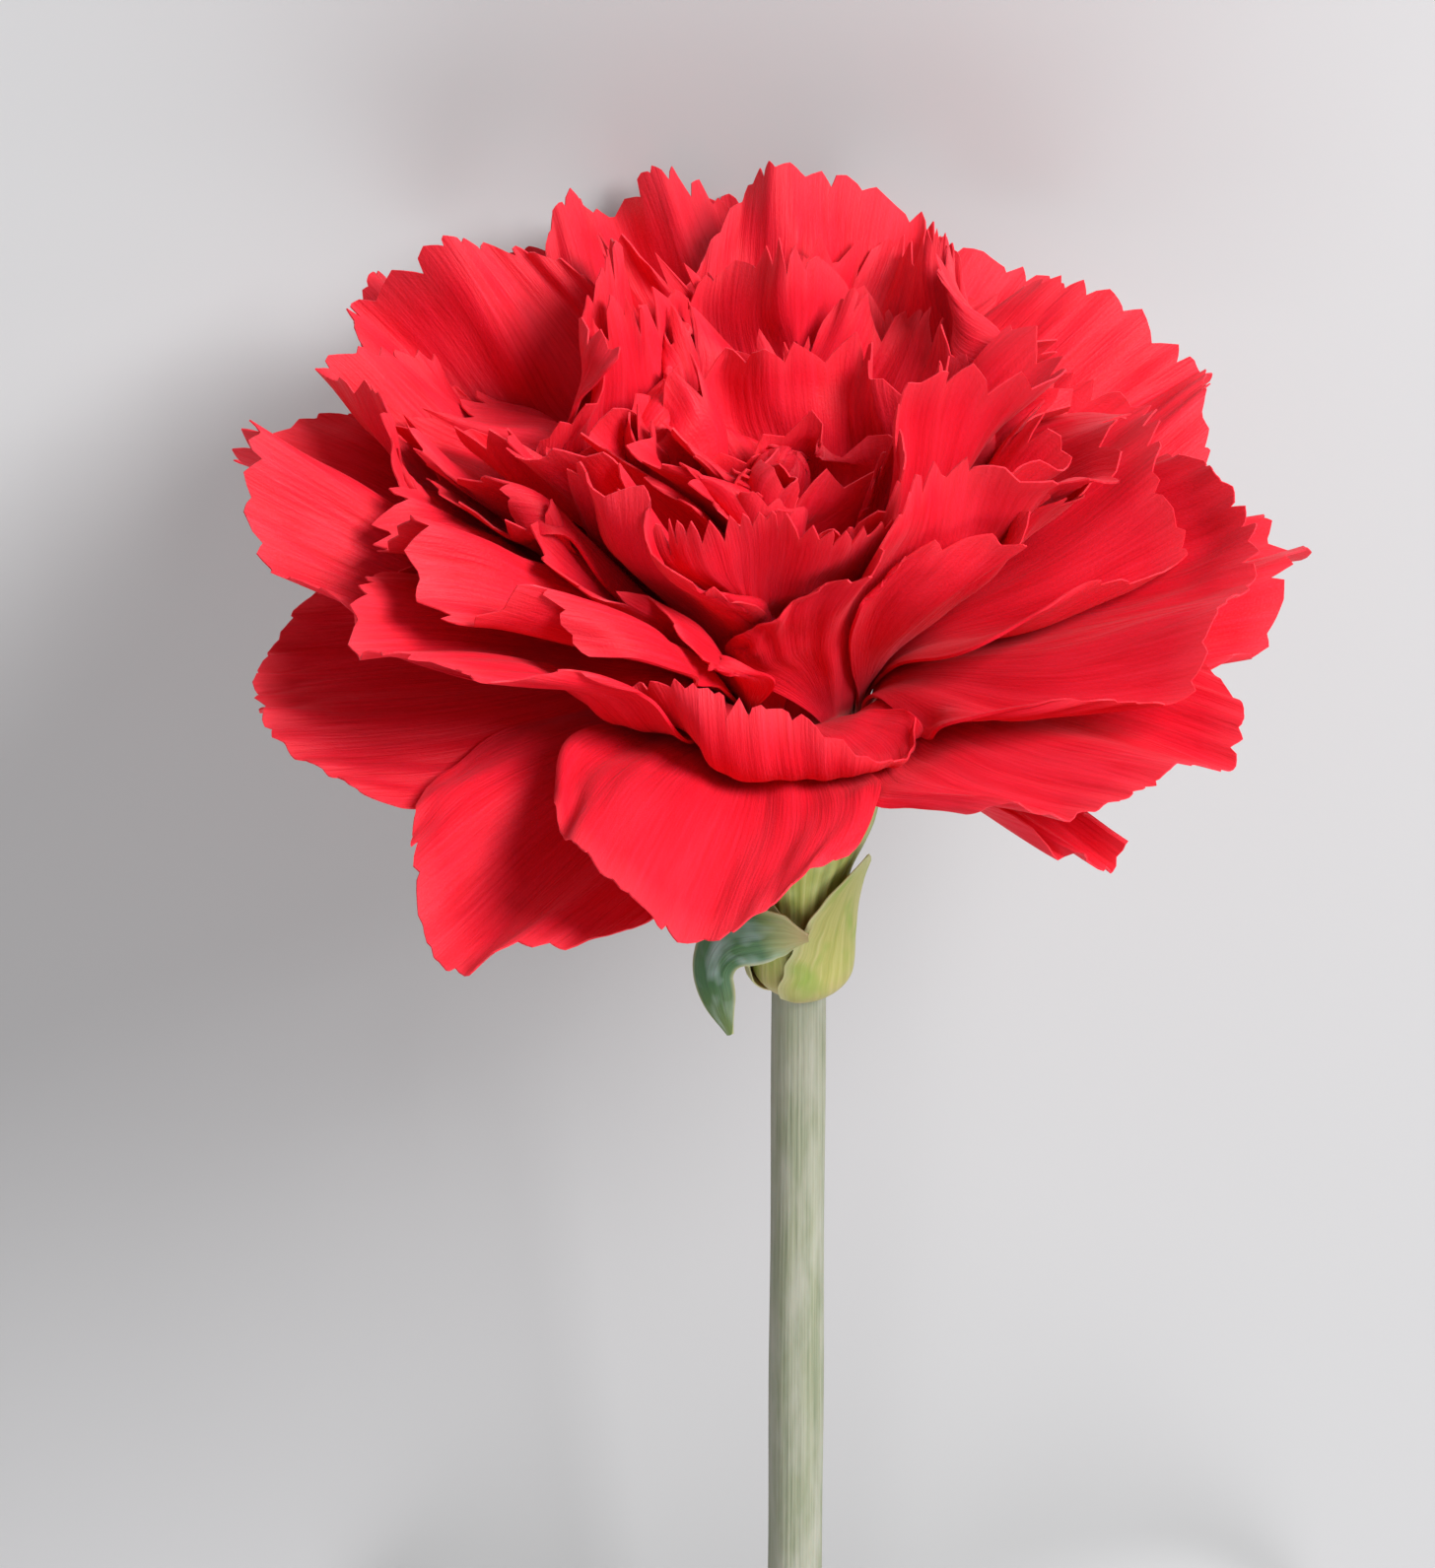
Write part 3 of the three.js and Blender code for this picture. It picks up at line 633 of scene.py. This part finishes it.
def add_curled_bract(looks):
    middle = np.array([p for p, _, _ in CURLED_BRACT]) - [0, 0, CALYX_LENGTH]
    knots = np.linspace(0, 1, len(middle))
    s = np.linspace(0, 1, 70)
    u = np.linspace(-1, 1, 41)
    centre = catmull_rom(middle, s)
    facing = np.radians(smooth_read(list(zip(knots, [f for _, f, _ in CURLED_BRACT])), s))
    half = smooth_read(list(zip(knots, [h for _, _, h in CURLED_BRACT])), s) * np.minimum(0.25 + 7 * s, 1)
    ahead = np.gradient(centre, axis=0)
    ahead /= np.linalg.norm(ahead, axis=1, keepdims=True)
    across = np.cross(ahead, np.stack([np.cos(facing), np.sin(facing), 0 * s], -1))
    across /= np.linalg.norm(across, axis=1, keepdims=True)
    normal = np.cross(across, ahead)
    hollow = CURL_HOLLOW * u[None, :] ** 2 * np.sin(math.pi * s[:, None])
    ripple = 0.12 * np.sin(9 * s[:, None] + 1) * u[None, :] ** 3
    inner_side = np.where(u[None, :] < 0, 1 - 0.38 * np.exp(-((s[:, None] - 0.5) / 0.2) ** 2), 1)
    P = (centre[:, None, :] + (u[None, :] * inner_side * half[:, None])[..., None] * across[:, None, :]
         + (ripple - hollow)[..., None] * normal[:, None, :])
    thin = 0.5 * BRACT_THICKNESS * (1 - 0.7 * np.abs(u[None, :]) ** 4)
    grain = np.stack(np.broadcast_arrays(u[None, :] * 2.6, s[:, None] * 14, np.abs(u[None, :]) ** 3), -1)
    add_sheet("bract_curled_scale", P, thin, grain, looks, "bract_curled", tone=1.0)


# ---- stem, leaves, pistil ----
STEM_DROP = math.sin(LYING_TILT) * (CALYX_LENGTH + STEM_LENGTH)
STEM_BOW = (MOUTH[2] - STEM_DROP - STEM_END_RADIUS) / math.cos(LYING_TILT)
RECEPTACLE_TOP = CALYX_LENGTH - CLAW_LENGTH - GAP
RECEPTACLE = [(0.0, 0.8), (0.3, 0.8), (0.6, 0.85), (1.0, 0.62)]


def stem_centre(depth):
    depth = np.asarray(depth, float)
    share = np.maximum(depth / STEM_LENGTH, 0)
    return np.stack([0 * depth, STEM_BOW * share ** 2, -CALYX_LENGTH - depth], -1)


def stem_radius(depth):
    plain = STEM_TOP_RADIUS + (STEM_END_RADIUS - STEM_TOP_RADIUS) * np.clip(depth / STEM_LENGTH, 0, 1)
    return plain + NODE_SWELL * np.exp(-((depth - NODE_DEPTH) / NODE_HALF_LENGTH) ** 2)


def add_stem(looks):
    sides = 64
    inside = np.linspace(-RECEPTACLE_TOP, -1.4, 14)
    below = np.concatenate([[-1.2, -0.6], np.linspace(0, STEM_LENGTH - 0.6, 240),
                            [STEM_LENGTH - 0.25, STEM_LENGTH - 0.08, STEM_LENGTH]])
    depth = np.concatenate([inside, below])
    radius = stem_radius(depth)
    hidden = depth < -1.3
    share = smooth_read(RECEPTACLE, np.clip(-depth / RECEPTACLE_TOP, 0, 1))
    radius[hidden] = (share * (calyx_radius(-CALYX_LENGTH - depth) - CALYX_WALL - GAP))[hidden]
    radius[-2:] -= [0.08, 0.25]
    depth = np.concatenate([depth, np.full(3, STEM_LENGTH)])
    radius = np.concatenate([radius, [1.6, 1.0, 0.5]])
    hidden = np.concatenate([hidden, [False] * 3])
    angle = np.linspace(0, TAU, sides, endpoint=False)
    # the leaf bases leave a low collar round the joint
    past_node = depth - NODE_DEPTH
    collar = 0.16 * np.exp(-((past_node + 1.2) / 0.5) ** 2) - 0.14 * np.exp(-((past_node - 1.6) / 0.6) ** 2)
    facets = 0.03 * np.cos(6 * angle)[None, :] + 0.03 * np.sin(0.21 * depth[:, None] + 2 * angle[None, :])
    r = (radius + collar)[:, None] + np.where(hidden[:, None], 0, facets)
    centre = stem_centre(depth)
    x = centre[:, None, 0] + r * np.cos(angle)[None, :]
    y = centre[:, None, 1] + r * np.sin(angle)[None, :]
    z = np.broadcast_to(centre[:, None, 2], x.shape)
    grain = np.stack(np.broadcast_arrays(
        angle[None, :] * 2, depth[:, None], r / stem_radius(depth)[:, None]), -1)
    add_tube("stem_round", np.stack([x, y, z], -1)[::-1], looks, "stem", grain[::-1], sharp=60)


LEAF_WIDTH = 5.2
LEAF_THICKNESS = 0.7
LEAF_CHANNEL = 0.9


def leaf_path(way):
    """The leaf's centre line as a Catmull-Rom curve through the CAD's points."""
    joint = stem_centre(NODE_DEPTH)
    root = float(stem_radius(NODE_DEPTH)) + 1.5 * GAP + LEAF_THICKNESS
    reach = 1.0 if way > 0 else 0.88
    tip_z = joint[2] + 20 * reach
    table = (math.sin(LYING_TILT) * tip_z + MOUTH[2]) / math.cos(LYING_TILT)
    tip_y = table - LEAF_THICKNESS * 0.5 - 0.25
    return np.array([
        [way * root, joint[1], joint[2] + 1],
        [way * (root + 4), joint[1] - 1.5, joint[2] + 12],
        [way * 18 * reach, joint[1] - 2.5, joint[2] + 23 * reach],
        [way * 31 * reach, (joint[1] + tip_y) / 2, joint[2] + 26 * reach],
        [way * 41 * reach, tip_y, tip_z],
    ])


def add_leaf(name, way, looks):
    """A blade that starts as a sheath round the joint, turns a quarter and arches down to the table."""
    s = np.linspace(0, 1, 130)
    u = np.linspace(-1, 1, 25)[None, :]
    share = s[:, None]
    centre = catmull_rom(leaf_path(way), s)
    ahead = np.gradient(centre, axis=0)
    ahead /= np.linalg.norm(ahead, axis=1, keepdims=True)
    turn = np.clip(s / 0.3, 0, 1)
    turn = (turn * turn * (3 - 2 * turn))[:, None]
    across = turn * np.cross([0, 1.0, 0], ahead) + (1 - turn) * np.array([0, -1.0 * way, 0])
    across -= ahead * np.einsum("ij,ij->i", across, ahead)[:, None]
    across /= np.linalg.norm(across, axis=1, keepdims=True)
    up = np.cross(across, ahead)
    half = LEAF_WIDTH / 2 * np.maximum(np.minimum(0.8 + s * 1.2, 1) * (1 - s ** 3), 0.05)
    ripple = 0.12 * np.sin(14 * share + 2 * way) * u * (1 - share)
    groove = LEAF_CHANNEL * (1 - share) * np.abs(u) ** 1.5 + ripple
    blade = (centre[:, None, :] + u[..., None] * half[:, None, None] * across[:, None, :]
             + groove[..., None] * up[:, None, :])
    joint = stem_centre(NODE_DEPTH)
    rise = -1.6 + 60 * share
    ring = stem_radius(NODE_DEPTH - rise) + 0.12 + 0.03 * rise
    angle = u * math.radians(84)
    sheath = np.stack(np.broadcast_arrays(
        joint[0] + way * ring * np.cos(angle), joint[1] - way * ring * np.sin(angle), joint[2] + rise), -1)
    blend = np.clip((share - 0.02) / 0.13, 0, 1)
    blend = (blend * blend * (3 - 2 * blend))[..., None]
    P = sheath * (1 - blend) + blade * blend
    keel = 0.35 * np.exp(-(u / 0.18) ** 2) * (1 - share)
    thick = LEAF_THICKNESS / 2 * (0.45 + keel) * (1 - 0.6 * np.abs(u) ** 6) * np.minimum(0.4 + 8 * share, 1)
    grain = np.stack(np.broadcast_arrays(u * half[:, None], share * 55, np.abs(u) + 0 * share), -1)
    add_sheet(name + "_blade", P, thick, grain, looks, name, tone=0.5 + 0.2 * way)


OVARY_RADIUS = 1.25
OVARY_LENGTH = 9.0
STYLE_HEIGHT = 15.0


def add_pistil(looks):
    """The ovary, narrowing at its top into a single slender style that curls to one side."""
    sides = 24
    angle = np.linspace(0, TAU, sides, endpoint=False)[None, :]
    foot = -CLAW_LENGTH
    body = [(0, 0.6), (0.1, 0.85), (0.35, 1.0), (0.7, 0.86), (0.9, 0.55), (1, 0.34)]
    s = np.linspace(0, 1, 24)[:, None]
    r = OVARY_RADIUS * smooth_read(body, s)
    rings = [np.stack(np.broadcast_arrays(r * np.cos(angle), r * np.sin(angle), foot + s * OVARY_LENGTH), -1)]
    t = np.linspace(0, 1, 40)[:, None]
    rise = foot + OVARY_LENGTH + t * (STYLE_HEIGHT - foot - OVARY_LENGTH)
    r = OVARY_RADIUS * 0.34 * (1 - 0.45 * t)
    lean = 0.25 + 0.9 * t ** 2.5
    x = -lean * t ** 0.5 + r * np.cos(angle)
    rings.append(np.stack(np.broadcast_arrays(x, r * np.sin(angle), rise), -1)[1:])
    rings = np.concatenate(rings)
    grain = np.stack(np.broadcast_arrays(angle, rings[..., 2], 0 * angle), -1)
    add_tube("pistil_style", rings, looks, "pistil", grain)


# ---- looks ----


class Looks:
    """A Principled material and short ways to build its nodes."""

    def __init__(self, name, roughness, **sockets):
        self.material = bpy.data.materials.new(name)
        self.material.use_nodes = True
        self.tree = self.material.node_tree
        self.shader = self.tree.nodes["Principled BSDF"]
        self.shader.inputs["Roughness"].default_value = roughness
        for socket, value in sockets.items():
            self.shader.inputs[socket.replace("_", " ")].default_value = value

    def node(self, kind, **settings):
        made = self.tree.nodes.new(kind)
        for key, value in settings.items():
            if key in made.inputs:
                made.inputs[key].default_value = value
            else:
                setattr(made, key, value)
        return made

    def link(self, a, b):
        self.tree.links.new(a, b)

    def attribute(self, name, output="Vector"):
        return self.node("ShaderNodeAttribute", attribute_name=name).outputs[output]

    def split(self, vector):
        made = self.node("ShaderNodeSeparateXYZ")
        self.link(vector, made.inputs[0])
        return made.outputs

    def scaled(self, vector, scale):
        made = self.node("ShaderNodeVectorMath", operation="MULTIPLY")
        self.link(vector, made.inputs[0])
        made.inputs[1].default_value = scale
        return made.outputs[0]

    def noise(self, vector, scale, detail, roughness=0.55):
        made = self.node("ShaderNodeTexNoise", Scale=scale, Detail=detail, Roughness=roughness)
        self.link(vector, made.inputs["Vector"])
        return made.outputs["Fac"]

    def ramp(self, value, stops):
        made = self.node("ShaderNodeValToRGB")
        self.link(value, made.inputs[0])
        elements = made.color_ramp.elements
        while len(elements) < len(stops):
            elements.new(0.5)
        for element, (at, color) in zip(elements, stops):
            element.position = at
            element.color = (*color, 1)
        return made.outputs[0]

    def mix(self, factor, a, b):
        made = self.node("ShaderNodeMix", data_type="RGBA")
        for value, socket in ((factor, made.inputs[0]), (a, made.inputs[6]), (b, made.inputs[7])):
            if isinstance(value, (int, float)):
                socket.default_value = value
            elif isinstance(value, tuple):
                socket.default_value = (*value, 1)
            else:
                self.link(value, socket)
        return made.outputs[2]

    def math(self, kind, a, b=0.0):
        made = self.node("ShaderNodeMath", operation=kind)
        for value, socket in ((a, made.inputs[0]), (b, made.inputs[1])):
            if isinstance(value, (int, float)):
                socket.default_value = value
            else:
                self.link(value, socket)
        return made.outputs[0]

    def map(self, value, low, high, to_low=0.0, to_high=1.0):
        made = self.node("ShaderNodeMapRange")
        self.link(value, made.inputs[0])
        for i, number in enumerate((low, high, to_low, to_high)):
            made.inputs[i + 1].default_value = number
        return made.outputs[0]

    def finish(self, color, height, strength=0.3, distance=0.0003, roughness=None):
        self.link(color, self.shader.inputs["Base Color"])
        if roughness is not None:
            self.link(roughness, self.shader.inputs["Roughness"])
        bump = self.node("ShaderNodeBump", Strength=strength, Distance=distance)
        self.link(height, bump.inputs["Height"])
        self.link(bump.outputs[0], self.shader.inputs["Normal"])
        return self.material


def petal_looks():
    """Velvety red: fine veins that fan out from the claw, a pale claw and a painted highlight that makes the
    margin slightly pinker.
    """
    m = Looks("petal_red", 0.55, Specular_IOR_Level=0.2,
              Subsurface_Weight=0.22, Subsurface_Radius=(1.0, 0.12, 0.1), Subsurface_Scale=0.0012,
              Sheen_Weight=0.08, Sheen_Roughness=0.4, Sheen_Tint=(1.0, 0.4, 0.45, 1))
    grain = m.attribute("grain")
    tone = m.attribute("tone", "Fac")
    share = m.split(grain)[2]
    veins = m.noise(m.scaled(grain, (4.2, 0.13, 0.0)), 1.0, 4.0, 0.6)
    streaks = m.noise(m.scaled(grain, (0.55, 0.06, 0.0)), 1.0, 2.0)
    cells = m.noise(m.scaled(grain, (9.0, 4.0, 0.0)), 1.0, 2.0)
    color = m.ramp(veins, [
        (0.30, (0.60, 0.003, 0.013)), (0.52, (0.74, 0.007, 0.024)), (0.75, (0.80, 0.014, 0.038))])
    color = m.mix(m.map(streaks, 0.42, 0.70, 0.0, 0.35), color, (0.88, 0.030, 0.062))
    color = m.mix(m.map(tone, 0.0, 1.0, 0.0, 0.30), color, (0.62, 0.004, 0.018))
    # painted highlight: the last tenth of each petal, up to its margin, is lightened towards pink
    color = m.mix(m.map(share, 0.90, 1.0, 0.0, 0.28), color, (0.95, 0.06, 0.085))
    color = m.mix(m.map(share, 0.42, 0.26, 0.0, 0.45), color, (0.45, 0.002, 0.012))
    color = m.mix(m.map(share, 0.20, 0.10, 0.0, 1.0), color, (0.80, 0.62, 0.52))
    height = m.math("ADD", m.math("MULTIPLY", veins, 1.0), m.math("MULTIPLY", cells, 0.25))
    rough = m.map(veins, 0.3, 0.7, 0.62, 0.50)
    return m.finish(color, height, 0.45, 0.00035, rough)


def stem_looks():
    m = Looks("stem_green", 0.5, Subsurface_Weight=0.08, Subsurface_Scale=0.001, Specular_IOR_Level=0.35)
    grain = m.attribute("grain")
    parts = m.split(grain)
    fibres = m.noise(m.scaled(grain, (5.0, 0.06, 0.0)), 1.0, 4.0)
    bloom = m.noise(m.scaled(grain, (0.5, 0.10, 0.0)), 1.0, 3.0)
    color = m.ramp(fibres, [(0.3, (0.17, 0.20, 0.12)), (0.55, (0.27, 0.29, 0.19)), (0.8, (0.40, 0.40, 0.30))])
    color = m.mix(m.map(bloom, 0.40, 0.68, 0.0, 0.65), color, (0.44, 0.43, 0.37))
    joint = m.math("ABSOLUTE", m.math("SUBTRACT", parts[1], NODE_DEPTH))
    color = m.mix(m.map(joint, 5.0, 0.5, 0.0, 0.6), color, (0.50, 0.56, 0.28))
    pith = m.ramp(parts[2], [
        (0.35, (0.70, 0.70, 0.52)), (0.62, (0.60, 0.66, 0.40)), (0.85, (0.34, 0.42, 0.18))])
    color = m.mix(m.map(parts[1], STEM_LENGTH - 0.3, STEM_LENGTH - 0.02, 0.0, 1.0), color, pith)
    return m.finish(color, fibres, 0.35, 0.0003, m.map(bloom, 0.3, 0.7, 0.42, 0.66))


def calyx_looks():
    m = Looks("calyx_green", 0.45, Subsurface_Weight=0.12, Subsurface_Scale=0.001, Specular_IOR_Level=0.4)
    grain = m.attribute("grain")
    share = m.split(grain)[2]
    ribs = m.noise(m.scaled(grain, (2.2, 0.05, 0.0)), 1.0, 3.0)
    patches = m.noise(m.scaled(grain, (0.22, 0.16, 0.0)), 1.0, 3.0)
    color = m.ramp(ribs, [(0.3, (0.24, 0.30, 0.055)), (0.55, (0.40, 0.44, 0.10)), (0.8, (0.55, 0.56, 0.20))])
    color = m.mix(m.map(patches, 0.45, 0.70, 0.0, 0.7), color, (0.62, 0.63, 0.28))
    color = m.mix(m.map(share, 0.22, 0.0, 0.0, 0.55), color, (0.35, 0.24, 0.09))
    color = m.mix(m.map(share, 0.90, 1.0, 0.0, 0.5), color, (0.60, 0.60, 0.40))
    return m.finish(color, ribs, 0.4, 0.0003, m.map(patches, 0.3, 0.7, 0.40, 0.58))


def bract_looks():
    """The hugging bracts are yellow-green like the calyx; the peeled one is dark with a bluish bloom."""
    m = Looks("bract_green", 0.45, Subsurface_Weight=0.08, Subsurface_Scale=0.001, Specular_IOR_Level=0.4)
    grain = m.attribute("grain")
    parts = m.split(grain)
    tone = m.attribute("tone", "Fac")
    ribs = m.noise(m.scaled(grain, (2.4, 0.10, 0.0)), 1.0, 3.0)
    patches = m.noise(m.scaled(grain, (0.30, 0.22, 0.0)), 1.0, 2.0)
    pale = m.ramp(ribs, [(0.3, (0.34, 0.36, 0.08)), (0.55, (0.46, 0.45, 0.13)), (0.8, (0.58, 0.54, 0.24))])
    pale = m.mix(m.map(patches, 0.50, 0.66, 0.0, 0.8), pale, (0.24, 0.38, 0.04))
    pale = m.mix(m.map(parts[1], 2.6, 0.2, 0.0, 0.7), pale, (0.42, 0.30, 0.15))
    dark = m.ramp(ribs, [(0.3, (0.035, 0.10, 0.04)), (0.55, (0.06, 0.16, 0.06)), (0.8, (0.10, 0.22, 0.08))])
    dark = m.mix(m.map(patches, 0.46, 0.62, 0.0, 0.7), dark, (0.36, 0.48, 0.46))
    dark = m.mix(m.map(parts[1], 9.5, 13.5, 0.0, 0.6), dark, (0.16, 0.20, 0.03))
    dark = m.mix(m.map(parts[1], 3.4, 0.6, 0.0, 0.9), dark, pale)
    color = m.mix(m.map(tone, 0.5, 0.9), pale, dark)
    color = m.mix(m.map(parts[2], 0.55, 1.0, 0.0, 0.7), color, (0.56, 0.54, 0.30))
    return m.finish(color, ribs, 0.35, 0.0003, m.map(patches, 0.3, 0.7, 0.40, 0.58))


def leaf_looks():
    m = Looks("leaf_green", 0.5, Subsurface_Weight=0.06, Subsurface_Scale=0.001, Specular_IOR_Level=0.4)
    grain = m.attribute("grain")
    parts = m.split(grain)
    veins = m.noise(m.scaled(grain, (3.2, 0.05, 0.0)), 1.0, 3.0)
    bloom = m.noise(m.scaled(grain, (0.35, 0.12, 0.0)), 1.0, 3.0)
    color = m.ramp(veins, [(0.3, (0.11, 0.19, 0.11)), (0.55, (0.18, 0.28, 0.18)), (0.8, (0.27, 0.37, 0.25))])
    color = m.mix(m.map(bloom, 0.42, 0.68, 0.0, 0.6), color, (0.40, 0.50, 0.44))
    color = m.mix(m.map(parts[2], 0.90, 1.0, 0.0, 0.4), color, (0.46, 0.52, 0.36))
    color = m.mix(m.map(parts[1], 50, 55, 0.0, 0.7), color, (0.40, 0.36, 0.18))
    return m.finish(color, veins, 0.35, 0.0003, m.map(bloom, 0.3, 0.7, 0.42, 0.64))


def pistil_looks():
    m = Looks("pistil_pale", 0.5, Subsurface_Weight=0.2, Subsurface_Scale=0.001)
    grain = m.attribute("grain")
    fine = m.noise(m.scaled(grain, (1.0, 0.6, 0.0)), 1.0, 3.0)
    color = m.ramp(fine, [(0.3, (0.72, 0.50, 0.48)), (0.7, (0.88, 0.74, 0.70))])
    return m.finish(color, fine, 0.3)


# ---- the flower ----
set_forms()
control_grids = relax(RELAX_STEPS)
petal_red = petal_looks()
for petal, grid in zip(PETALS, control_grids):
    add_petal(petal, grid, petal_red)
add_calyx(calyx_looks())
bract_green = bract_looks()
add_bracts(bract_green)
add_curled_bract(bract_green)
add_stem(stem_looks())
leaf_green = leaf_looks()
add_leaf("leaf_left", -1, leaf_green)
add_leaf("leaf_right", 1, leaf_green)
add_pistil(pistil_looks())

# ---- floor, light, camera ----
VIEW_ELEVATION = math.radians(35)  # above the plane of the flower's face
UNIT_AXIS = TO_ROW @ np.array([0, 0, 1.0])
UNIT_FRONT = TO_ROW @ np.array([0, -1.0, 0])
VIEW_DISTANCE = 0.62
VIEW_HEIGHT = 0.1095
SENSOR_HEIGHT = 24
FLOOR_REACH = 2.5
WORLD_STRENGTH = 0.28


def aim(obj, place, target, up):
    back = (Vector(place) - Vector(target)).normalized()
    right = Vector(up).cross(back).normalized()
    turned = Matrix((right, back.cross(right), back)).transposed().to_4x4()
    turned.translation = Vector(place)
    obj.matrix_world = turned


def add_object(name, data):
    obj = bpy.data.objects.new(name, data)
    bpy.context.scene.collection.objects.link(obj)
    return obj


def add_floor():
    mesh = bpy.data.meshes.new("floor")
    corners = [(-FLOOR_REACH, -FLOOR_REACH, 0), (FLOOR_REACH, -FLOOR_REACH, 0),
               (FLOOR_REACH, FLOOR_REACH, 0), (-FLOOR_REACH, FLOOR_REACH, 0)]
    mesh.from_pydata(corners, [], [(0, 1, 2, 3)])
    m = Looks("floor_pale", 0.85)
    m.shader.inputs["Base Color"].default_value = (0.50, 0.50, 0.51, 1)
    mesh.materials.append(m.material)
    add_object("floor", mesh)


def add_softbox(name, offset, size, power):
    light = bpy.data.lights.new(name, "AREA")
    light.energy = power
    light.size = size
    middle = MOUTH * MM + np.array([0, 0.02, 0])
    aim(add_object(name, light), middle + np.array(offset), middle, (0, 1, 0.01))


def add_camera():
    back = math.cos(VIEW_ELEVATION) * UNIT_FRONT + math.sin(VIEW_ELEVATION) * UNIT_AXIS
    up = -math.sin(VIEW_ELEVATION) * UNIT_FRONT + math.cos(VIEW_ELEVATION) * UNIT_AXIS
    target = (MOUTH + np.array([-5.8, 0, 0]) - 4.2 * up) * MM
    camera = bpy.data.cameras.new("camera")
    camera.sensor_fit = "VERTICAL"
    camera.sensor_height = SENSOR_HEIGHT
    camera.lens = SENSOR_HEIGHT * VIEW_DISTANCE / VIEW_HEIGHT
    camera.clip_start = 0.01
    obj = add_object("camera", camera)
    aim(obj, target + back * VIEW_DISTANCE, target, up)
    bpy.context.scene.camera = obj


add_floor()
world = bpy.data.worlds.new("studio")
world.use_nodes = True
world.node_tree.nodes["Background"].inputs["Color"].default_value = (1, 1, 1, 1)
world.node_tree.nodes["Background"].inputs["Strength"].default_value = WORLD_STRENGTH
bpy.context.scene.world = world
bpy.context.scene.view_settings.view_transform = "Standard"
add_softbox("key", (0.42, 0.46, 0.38), 0.32, 8.0)
add_softbox("fill", (0.08, -0.42, 0.5), 0.7, 3.2)
add_camera()
